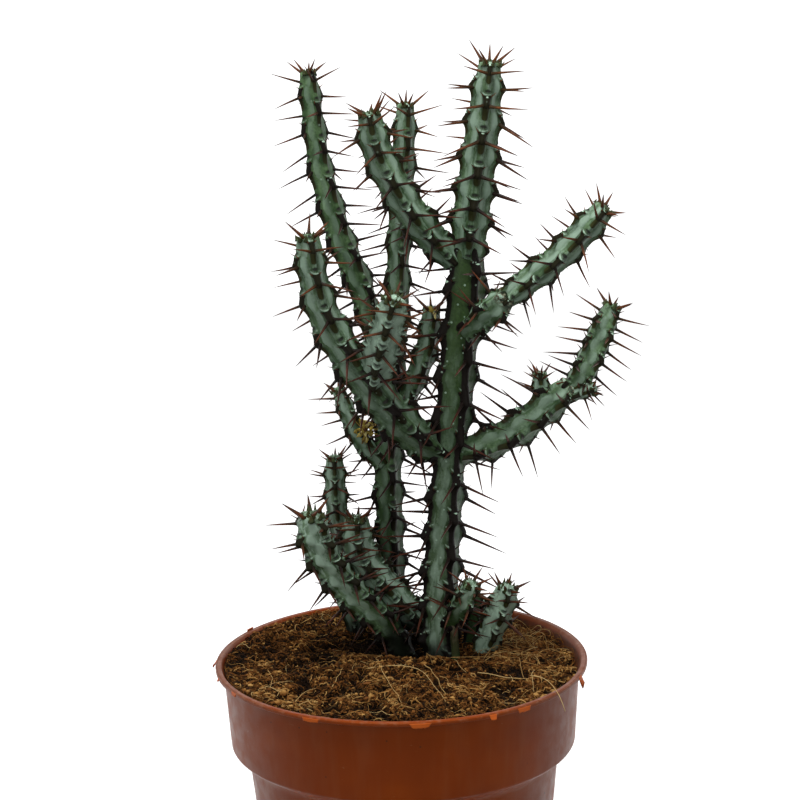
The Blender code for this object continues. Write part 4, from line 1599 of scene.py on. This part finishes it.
def kept_inside(paths, pot, gap=0.35):
    """Paths pushed in where they would pass through the pot's wall."""
    radius = np.hypot(paths[..., 0], paths[..., 1])
    limit = inner_radius(angle_of(paths), COIR_EDGE, pot) - gap
    paths[..., :2] *= np.minimum(1.0, limit / np.maximum(radius, 1e-6))[..., None]
    return paths


def lying_fibres(draw, top, pot, x, y, lengths, curl, lift, steps):
    """Curled paths that lie on the coir round the given places."""
    count = len(x)
    share = np.linspace(-0.5, 0.5, steps)
    heading = draw.uniform(0.0, math.tau, count)[:, None] + curl[:, None] * share * 2
    waver = draw.normal(0.0, 0.35, (count, 1))
    heading = heading + waver * np.sin(share * 9.0 + draw.uniform(0, 6, (count, 1)))
    stride = lengths[:, None] / (steps - 1)
    east = np.cumsum(np.cos(heading) * stride, axis=1)
    north = np.cumsum(np.sin(heading) * stride, axis=1)
    east += x[:, None] - east.mean(axis=1, keepdims=True)
    north += y[:, None] - north.mean(axis=1, keepdims=True)
    tilt = draw.normal(0.0, 0.25, (count, 1))
    arch = lift[:, None] * (1 - (2 * share) ** 2) + tilt * lift[:, None] * share * 2
    paths = kept_inside(np.stack([east, north, np.zeros_like(east)], axis=-1), pot)
    paths[..., 2] = top.height(paths[..., 0], paths[..., 1]) * 0.5 + 0.5 * top.height(x, y)[:, None] + arch
    return paths


def make_short_fibres(top, settings, pot, material):
    """The mat of short curled fibres."""
    draw = np.random.default_rng(31)
    count, steps = settings.fibre_count, 5
    x, y = scattered(draw, count, pot)
    usual = settings.fibre_length / MM
    lengths = np.clip(usual * draw.lognormal(0.0, 0.45, count), 0.35 * usual, 2.4 * usual)
    curl = draw.normal(0.0, 1.5, count)
    paths = lying_fibres(draw, top, pot, x, y, lengths, curl, draw.uniform(0.1, 0.85, count), steps)
    layer = draw.uniform(0.0, 1.0, count)
    paths[..., 2] += (layer * 0.95 - 0.45)[:, None]
    radii = draw.uniform(0.11, 0.3, count)[:, None] * np.array([0.55, 1.0, 0.95, 0.85, 0.35])
    tubes = Tubes(3)
    # Painted light and shade: fibres higher in the mat are lighter, and those lying low, in the dips and in
    # the hollow, are darker.
    tone = np.clip(draw.beta(1.2, 2.4, count) * 0.9 + 0.4 * layer - 0.08 + 0.25 * patches(x, y), 0.0, 1.0)
    low_shade = 1.2 - 2.1 * layer - 0.4 * patches(x, y) + 1.7 * pits(x, y) + 0.9 * top.dip(x, y)
    deep = np.maximum(hollow_share(x, y), 0.93 * np.clip(low_shade, 0.0, 1.0))
    tubes.add(paths, radii, tone=tone, deep=deep)
    tubes.piece("coir_fibres", "coir", material)


LUMP_SIZE = 0.3


def make_grains(name, seed, count, usual, largest, top, pot, material):
    """Loose grains of pith of about the usual size: round if that is over LUMP_SIZE, and sharp if not."""
    draw = np.random.default_rng(seed)
    shape = bmesh.new()
    if usual > LUMP_SIZE:
        bmesh.ops.create_icosphere(shape, subdivisions=1, radius=1.0)
    else:
        bmesh.ops.create_cone(shape, segments=3, radius1=1.1, radius2=0.0, depth=1.6, cap_ends=True)
    corners = np.array([vertex.co[:] for vertex in shape.verts])
    sides = np.array([[vertex.index for vertex in face.verts] for face in shape.faces])
    shape.free()
    x, y = scattered(draw, count, pot)
    size = np.clip(usual * draw.lognormal(0.0, 0.42, count), 0.5 * usual, largest)
    stretch = draw.uniform(0.55, 1.35, (count, 1, 3)) * np.array([1.0, 1.0, 0.75])
    turn = draw.uniform(0.0, math.tau, count)
    rough = 1.0 + draw.normal(0.0, 0.27, (count, len(corners), 1))
    shapes = corners * rough * stretch * size[:, None, None]
    cos, sin = np.cos(turn)[:, None], np.sin(turn)[:, None]
    east = shapes[..., 0] * cos - shapes[..., 1] * sin + x[:, None]
    north = shapes[..., 0] * sin + shapes[..., 1] * cos + y[:, None]
    sunk = draw.uniform(-0.5, 0.65, count)
    up = shapes[..., 2] + (top.height(x, y) + sunk * size + 0.4 - usual)[:, None]
    points = kept_inside(np.stack([east, north, up], axis=-1), pot, 0.1).reshape(-1, 3)
    faces = (sides[None] + len(corners) * np.arange(count)[:, None, None]).reshape(-1, 3).tolist()
    # Painted light and shade: raised grains and each grain's top are lighter, and grains lying low, in the
    # dips and in the hollow, are darker.
    tone = np.clip(draw.normal(0.3, 0.27, count) + 0.15 * patches(x, y) + 0.2 * sunk, 0.0, 1.0)
    tone = np.clip(tone[:, None] + 0.35 * shapes[..., 2] / size[:, None], 0.0, 1.0).ravel()
    low_shade = 0.75 - 1.2 * sunk - 0.4 * patches(x, y) + 1.5 * pits(x, y) + 0.9 * top.dip(x, y)
    low_shade = 0.93 * np.clip(low_shade, 0.0, 1.0)
    deep = np.repeat(np.maximum(hollow_share(x, y), low_shade), len(corners))
    grains = new_piece(name, points, faces, material, (), {"tone": tone, "deep": deep})
    grains.data.polygons.foreach_set("use_smooth", [False] * len(faces))


# Where each long fibre runs over the coir, in X and Y.
LONG_FIBRES = (
    ((-11, -10), (1, -8), (7, -16), (13, -40)),
    ((-8, 0), (-7, -10), (-4, -25), (-1, -35), (0, -47)),
    ((-43, -6), (-41, -16), (-41, -27), (-40, -33)),
    ((32, 8), (39, 6), (46, 5)),
    ((16, 4), (26, 3), (38, 4)),
    ((38, 4), (38, -10), (39, -17)),
    ((-33, -36), (-29, -27), (-27, -24)),
    ((-22, -24), (-20, -13), (-19, -7)),
    ((-39, -32), (-37, -26), (-35, -23)),
    ((17, 1), (19, -10), (21, -14)),
    ((7, -6), (12, -26), (13, -37)),
    ((42, -8), (41, -28)),
    ((24, -13), (33, -19), (40, -17)),
)
# The one that hangs over the lip, in X, Y and height from the rim.
OVER_RIM = (
    (40.0, -24.0, 1.2),
    (43.5, -29.0, 2.4),
    (46.0, -34.7, 2.2),
    (48.2, -38.5, -0.6),
    (49.4, -41.4, -4.2),
)
ROUTE_STEPS = 16
LOOSE_COUNT = 480
TUFT_COUNT = 190  # how many of the loose fibres lie in the tuft at the right


def eased(route, steps):
    """A smooth path through a route's points."""
    route = np.asarray(route, float)
    span = run_lengths(route)
    at = np.linspace(0.0, span[-1], steps)
    path = np.stack([np.interp(at, span, column) for column in route.T], axis=-1)
    for _ in range(3):
        path[1:-1] = (path[:-2] + 2 * path[1:-1] + path[2:]) / 4
    return path


def make_loose_fibres(top, pot, material):
    """Long pale fibres on top of the mat, one of them hanging over the lip, and the tuft at the right."""
    draw = np.random.default_rng(33)
    tubes = Tubes(4)
    for route in LONG_FIBRES:
        path = eased(route, ROUTE_STEPS)
        path[:, 0] += 0.9 * layered_noise(level_places(*path.T), 7.0, 41)
        lift = 0.55 + 0.9 * np.sin(np.linspace(0, math.pi, ROUTE_STEPS)) * draw.uniform(0.3, 1.0)
        height = top.smooth(path[:, 0], path[:, 1]) - 0.2 + lift
        radius = draw.uniform(0.12, 0.19) * np.linspace(1.0, 0.5, ROUTE_STEPS)
        tubes.add(np.column_stack([path, height])[None], radius, tone=draw.uniform(0.8, 1.0), deep=0.0)
    over = eased(OVER_RIM, ROUTE_STEPS)
    over[:, 2] += RIM_HEIGHT
    tubes.add(over[None], 0.17 * np.linspace(1.0, 0.6, ROUTE_STEPS), tone=0.95, deep=0.0)
    count, steps = LOOSE_COUNT, 8
    x, y = scattered(draw, count, pot)
    x[:TUFT_COUNT] = draw.normal(38.0, 7.0, TUFT_COUNT)
    y[:TUFT_COUNT] = draw.normal(20.0, 10.0, TUFT_COUNT)
    lengths = draw.uniform(5.0, 15.0, count)
    high, low = draw.uniform(0.6, 3.4, count), draw.uniform(0.3, 1.4, count)
    lift = np.where(np.arange(count) < TUFT_COUNT, high, low)
    paths = lying_fibres(draw, top, pot, x, y, lengths, draw.normal(0.0, 0.5, count), lift, steps)
    radii = draw.uniform(0.06, 0.14, count)[:, None] * np.linspace(1.0, 0.4, steps)
    # Painted shade: loose fibres in the hollow are darker.
    tubes.add(paths, radii, tone=draw.uniform(0.35, 1.0, count), deep=0.6 * hollow_share(x, y))
    tubes.piece("loose_fibres", "coir", material)


def make_coir(settings, pot):
    """The bed, its crumbs, its mat of short fibres and the long loose ones."""
    top = CoirTop()
    make_coir_bed(top, settings, pot)
    pith = fibre_material("coir_crumb", settings, 0.15)
    make_grains("coir_crumbs", 32, settings.crumb_count, settings.crumb_size / MM, 1.0, top, pot, pith)
    make_grains("coir_grit", 34, settings.grit_count, settings.grit_size / MM, 0.45, top, pot, pith)
    make_short_fibres(top, settings, pot, fibre_material("coir_fibre", settings, 0.3))
    make_loose_fibres(top, pot, fibre_material("coir_straw", settings, 1.0))


# ---------------------------------------------------------------- dried parts


def make_dry_stalk(settings):
    """The wrinkled dead stalk by the small stub."""
    low, high = node_box("dry_stalk")
    middle = (low + high) / 2
    steps, around = 40, 28
    share = np.linspace(0.0, 1.0, steps)[:, None]
    foot = np.array([middle[0] + 0.2, middle[1] + 0.35, low[2]])
    head = np.array([middle[0] - 0.15, middle[1] - 0.25, high[2]])
    line = foot + (head - foot) * share
    angles = round_angles(around)
    grooves = np.broadcast_arrays(1.6 * np.cos(angles), 1.6 * np.sin(angles), 0.14 * line[:, 2:])
    place = np.stack(grooves, axis=-1)
    radius = 1.22 + 0.16 * soft_noise(place, 0.8, 61) + 0.1 * soft_noise(place * 2.2, 0.8, 62)
    points = np.empty((steps, around, 3))
    points[..., 0] = line[:, :1] + radius * np.cos(angles)
    points[..., 1] = line[:, 1:2] + radius * np.sin(angles)
    points[..., 2] = line[:, 2:]
    faces = [face[::-1] for face in ring_faces(steps, around) + end_caps(steps, around)]
    material = dry_material("dry_stalk", settings.old_green, settings.tongue, settings.scar)
    fields = {"tone": np.repeat(share.ravel(), around)}
    new_piece("dead_stalk", points.reshape(-1, 3), faces, material, ("dry_stalk",), fields)


def bud_cluster(tubes, draw, middle, size, count):
    """Shrivelled buds and their thin stalks, crowded round a middle."""
    bulge = np.array([0.12, 0.55, 0.95, 1.0, 0.7, 0.5, 0.22])
    share = np.linspace(0.0, 1.0, len(bulge))
    for _ in range(count):
        direction = unit(draw.normal(size=3) + np.array([0.0, -0.5, 0.25]))
        start = middle + direction * size * draw.uniform(0.1, 0.75)
        length = draw.uniform(1.4, 2.5)
        bend = draw.normal(size=3) * 0.55
        path = start + np.outer(share, direction) * length + np.outer(share**2, bend)
        width = draw.uniform(0.55, 0.95)
        radii = width * bulge * draw.uniform(0.8, 1.2, len(bulge))
        tubes.add(path[None], radii, tone=draw.uniform(0.15, 1.05))
    for _ in range(count):
        direction = unit(draw.normal(size=3) + np.array([0.0, -0.4, 0.4]))
        start = middle + draw.normal(size=3) * size * 0.25
        bend = draw.normal(size=3) * 1.1
        path = start + np.outer(share, direction) * size * 1.05 + np.outer(share**2, bend)
        tubes.add(path[None], np.linspace(0.17, 0.08, len(share)), tone=draw.uniform(0.0, 1.0))


def make_dry_flowers():
    """The dried flower heads on the flowering shoot and at the inner shoot's crown."""
    draw = np.random.default_rng(71)
    low, high = node_box("dry_flowers")
    tubes = Tubes(8)
    bud_cluster(tubes, draw, (low + high) / 2 + np.array([0.5, -1.2, -1.4]), (high - low) * 0.62, 34)
    material = dry_material("dry_flower", colour(92, 58, 28), colour(188, 166, 74), colour(226, 214, 150))
    tubes.piece("dried_flowers", "dry_flower", material, ("dry_flowers",))
    crown = stem_line("inner_shoot", (0.0, 0.0, 1.0))[1][0]
    more = Tubes(8)
    bud_cluster(more, draw, crown + np.array([0.4, -1.2, -0.4]), np.array([1.5, 1.2, 1.0]), 7)
    more.piece("crown_flowers", "dry_flower", material)


# ---------------------------------------------------------------- floor, lights and camera

CAMERA_BACK = 600.0
CAMERA_RIGHT = 1.3
CAMERA_OVER_RIM = 211.5
CAMERA_PITCH = 11.89
CAMERA_ROLL = -1.34


def make_camera(settings):
    """The camera in front, a little above the plant and looking slightly down."""
    pitch, roll = math.radians(CAMERA_PITCH), math.radians(CAMERA_ROLL)
    ahead = Vector((0.0, math.cos(pitch), -math.sin(pitch)))
    level_up = Vector((0.0, math.sin(pitch), math.cos(pitch)))
    right = Vector((1.0, 0.0, 0.0))
    turned_right = right * math.cos(roll) + level_up * math.sin(roll)
    turned_up = level_up * math.cos(roll) - right * math.sin(roll)
    data = bpy.data.cameras.new("front_camera")
    data.lens = settings.lens
    data.sensor_width = 36.0
    data.clip_start = 0.01
    camera = linked_object("front_camera", data)
    rotation = Matrix((turned_right, turned_up, -ahead)).transposed().to_4x4()
    place = Vector((CAMERA_RIGHT, -CAMERA_BACK, RIM_HEIGHT + CAMERA_OVER_RIM)) * MM
    camera.matrix_world = Matrix.Translation(place) @ rotation
    bpy.context.scene.camera = camera


def add_area_light(name, place, size, power):
    """A soft square light at place, facing the plant, in metres and watts."""
    aim = (CAD_BOX[0] + CAD_BOX[1]) / 2
    data = bpy.data.lights.new(name, "AREA")
    data.shape = "SQUARE"
    data.size = size
    data.energy = power
    light = linked_object(name, data)
    light.location = place
    light.rotation_euler = (Vector(aim) - Vector(place)).to_track_quat("-Z", "Y").to_euler()


# The sweep's radius on the floor, the radius of its turn up and its height, in metres.
SWEEP_FLAT = 1.5
SWEEP_CURVE = 0.8
SWEEP_TOP = 1.7
SWEEP_AROUND = 72
SWEEP_STEPS = 14
WHITE = (1.0, 1.0, 1.0, 1.0)


def paper_material(settings):
    """Pale paper that glows as painted light, brighter away from the plant."""
    shader = Shader("studio_paper")
    paper = shader.noise(shader.object_place((1.0, 1.0, 1.0)), 40.0, 2.0)
    tone = shader.mix(paper, shade_of(settings.paper, 0.96), settings.paper[:])
    level = shader.object_place((1.0, 1.0, 0.0))
    away = shader.node("ShaderNodeVectorMath", {0: level}, operation="LENGTH").outputs["Value"]
    glow = shader.between(away, 0.15, 0.7, 0.62, 1.15)
    return shader.finish(Base_Color=tone, Roughness=0.9, Emission_Color=WHITE, Emission_Strength=glow)


def make_sweep(settings):
    """A round floor of pale paper that turns up into a backdrop on every side."""
    profile = [(SWEEP_FLAT, 0.0)]
    for step in range(1, SWEEP_STEPS + 1):
        turn = math.pi / 2 * step / SWEEP_STEPS
        profile.append((SWEEP_FLAT + SWEEP_CURVE * math.sin(turn), SWEEP_CURVE * (1 - math.cos(turn))))
    profile.append((SWEEP_FLAT + SWEEP_CURVE, SWEEP_TOP))
    points = []
    for radius, height in profile:
        for turn in round_angles(SWEEP_AROUND):
            points.append((radius * math.cos(turn), radius * math.sin(turn), height))
    points.append((0.0, 0.0, 0.0))
    faces = [face[::-1] for face in ring_faces(len(profile), SWEEP_AROUND)]
    faces += [(len(points) - 1, i, (i + 1) % SWEEP_AROUND) for i in range(SWEEP_AROUND)]
    mesh = bpy.data.meshes.new("studio_sweep")
    mesh.from_pydata(points, [], faces)
    mesh.polygons.foreach_set("use_smooth", [True] * len(mesh.polygons))
    mesh.materials.append(paper_material(settings))
    sweep = linked_object("studio_sweep", mesh)
    sweep.visible_diffuse = False


def make_stage(settings):
    """The sweep, two soft lights, the pale room and the camera."""
    make_sweep(settings)
    world = bpy.data.worlds.new("studio_surround")
    world.use_nodes = True
    surround = world.node_tree.nodes["Background"].inputs
    surround["Color"].default_value = WHITE
    surround["Strength"].default_value = settings.surround
    bpy.context.scene.world = world
    add_area_light("overhead_softbox", (-0.04, -0.2, 1.25), 0.7, settings.key_power)
    add_area_light("front_softbox", (-0.2, -1.15, 0.6), 0.5, settings.fill_power)
    bpy.context.scene.view_settings.view_transform = "Standard"
    make_camera(settings)


# ---------------------------------------------------------------- operators and panel


class MakePot(bpy.types.Operator):
    """Make the moulded pot and the flash on its lip"""

    bl_idname = "euphorbia.make_pot"
    bl_label = "Pot"

    def execute(self, context):
        make_pot(context.scene.euphorbia_pot)
        make_flash(context.scene.euphorbia_pot)
        return {"FINISHED"}


class MakeCoir(bpy.types.Operator):
    """Make the coir: its bed, crumbs, short fibres and long loose fibres"""

    bl_idname = "euphorbia.make_coir"
    bl_label = "Coir"

    def execute(self, context):
        make_coir(context.scene.euphorbia_coir, context.scene.euphorbia_pot)
        return {"FINISHED"}


def stem_shapes(settings):
    """Every stem's shape, the same at each call."""
    tooth = settings.tooth_height / MM
    return [StemShape(look, seed, tooth) for seed, look in enumerate(STEM_LOOKS, FIRST_SEED)]


class MakeStems(bpy.types.Operator):
    """Make every stem's ribbed and toothed skin"""

    bl_idname = "euphorbia.make_stems"
    bl_label = "Stems"

    def execute(self, context):
        settings = context.scene.euphorbia_stems
        skins = {slot: stem_skin_material(f"{slot}_skin", settings) for slot in ("young_stem", "old_stem")}
        for shape in stem_shapes(settings):
            make_skin(shape, skins[shape.look.slot])
        return {"FINISHED"}


class MakeSpines(bpy.types.Operator):
    """Make the spines and prickles of every stem"""

    bl_idname = "euphorbia.make_spines"
    bl_label = "Spines"

    def execute(self, context):
        settings = context.scene.euphorbia_spines
        material = spine_material(settings)
        for shape in stem_shapes(context.scene.euphorbia_stems):
            make_spines(shape, settings, material)
        return {"FINISHED"}


class MakeDryParts(bpy.types.Operator):
    """Make the dead stalk and the dried flowers"""

    bl_idname = "euphorbia.make_dry_parts"
    bl_label = "Dried Parts"

    def execute(self, context):
        make_dry_stalk(context.scene.euphorbia_stems)
        make_dry_flowers()
        return {"FINISHED"}


class MakeStage(bpy.types.Operator):
    """Make the floor, lights and camera"""

    bl_idname = "euphorbia.make_stage"
    bl_label = "Stage"

    def execute(self, context):
        make_stage(context.scene.euphorbia_stage)
        return {"FINISHED"}


OPERATORS = (MakePot, MakeCoir, MakeStems, MakeSpines, MakeDryParts, MakeStage)


class EuphorbiaPanel(bpy.types.Panel):
    """Lists the pieces to make and their settings"""

    bl_idname = "VIEW3D_PT_euphorbia"
    bl_label = "Potted Euphorbia"
    bl_space_type = "VIEW_3D"
    bl_region_type = "UI"
    bl_category = "Euphorbia"

    def draw(self, context):
        column = self.layout.column()
        for operator in OPERATORS:
            column.operator(operator.bl_idname)
        for name, kind in SETTINGS.items():
            box = self.layout.box()
            box.label(text=kind.__doc__)
            for setting in kind.__annotations__:
                box.prop(getattr(context.scene, name), setting)


CLASSES = (*SETTINGS.values(), *OPERATORS, EuphorbiaPanel)


def register():
    """Registers the settings, operators and panel."""
    for item in CLASSES:
        bpy.utils.register_class(item)
    for name, kind in SETTINGS.items():
        setattr(bpy.types.Scene, name, PointerProperty(type=kind))


def unregister():
    """Takes them off again."""
    for name in SETTINGS:
        delattr(bpy.types.Scene, name)
    for item in reversed(CLASSES):
        bpy.utils.unregister_class(item)


def main():
    """Makes every piece in order."""
    register()
    bpy.ops.euphorbia.make_pot()
    bpy.ops.euphorbia.make_coir()
    bpy.ops.euphorbia.make_stems()
    bpy.ops.euphorbia.make_spines()
    bpy.ops.euphorbia.make_dry_parts()
    bpy.ops.euphorbia.make_stage()


if __name__ == "__main__":
    main()
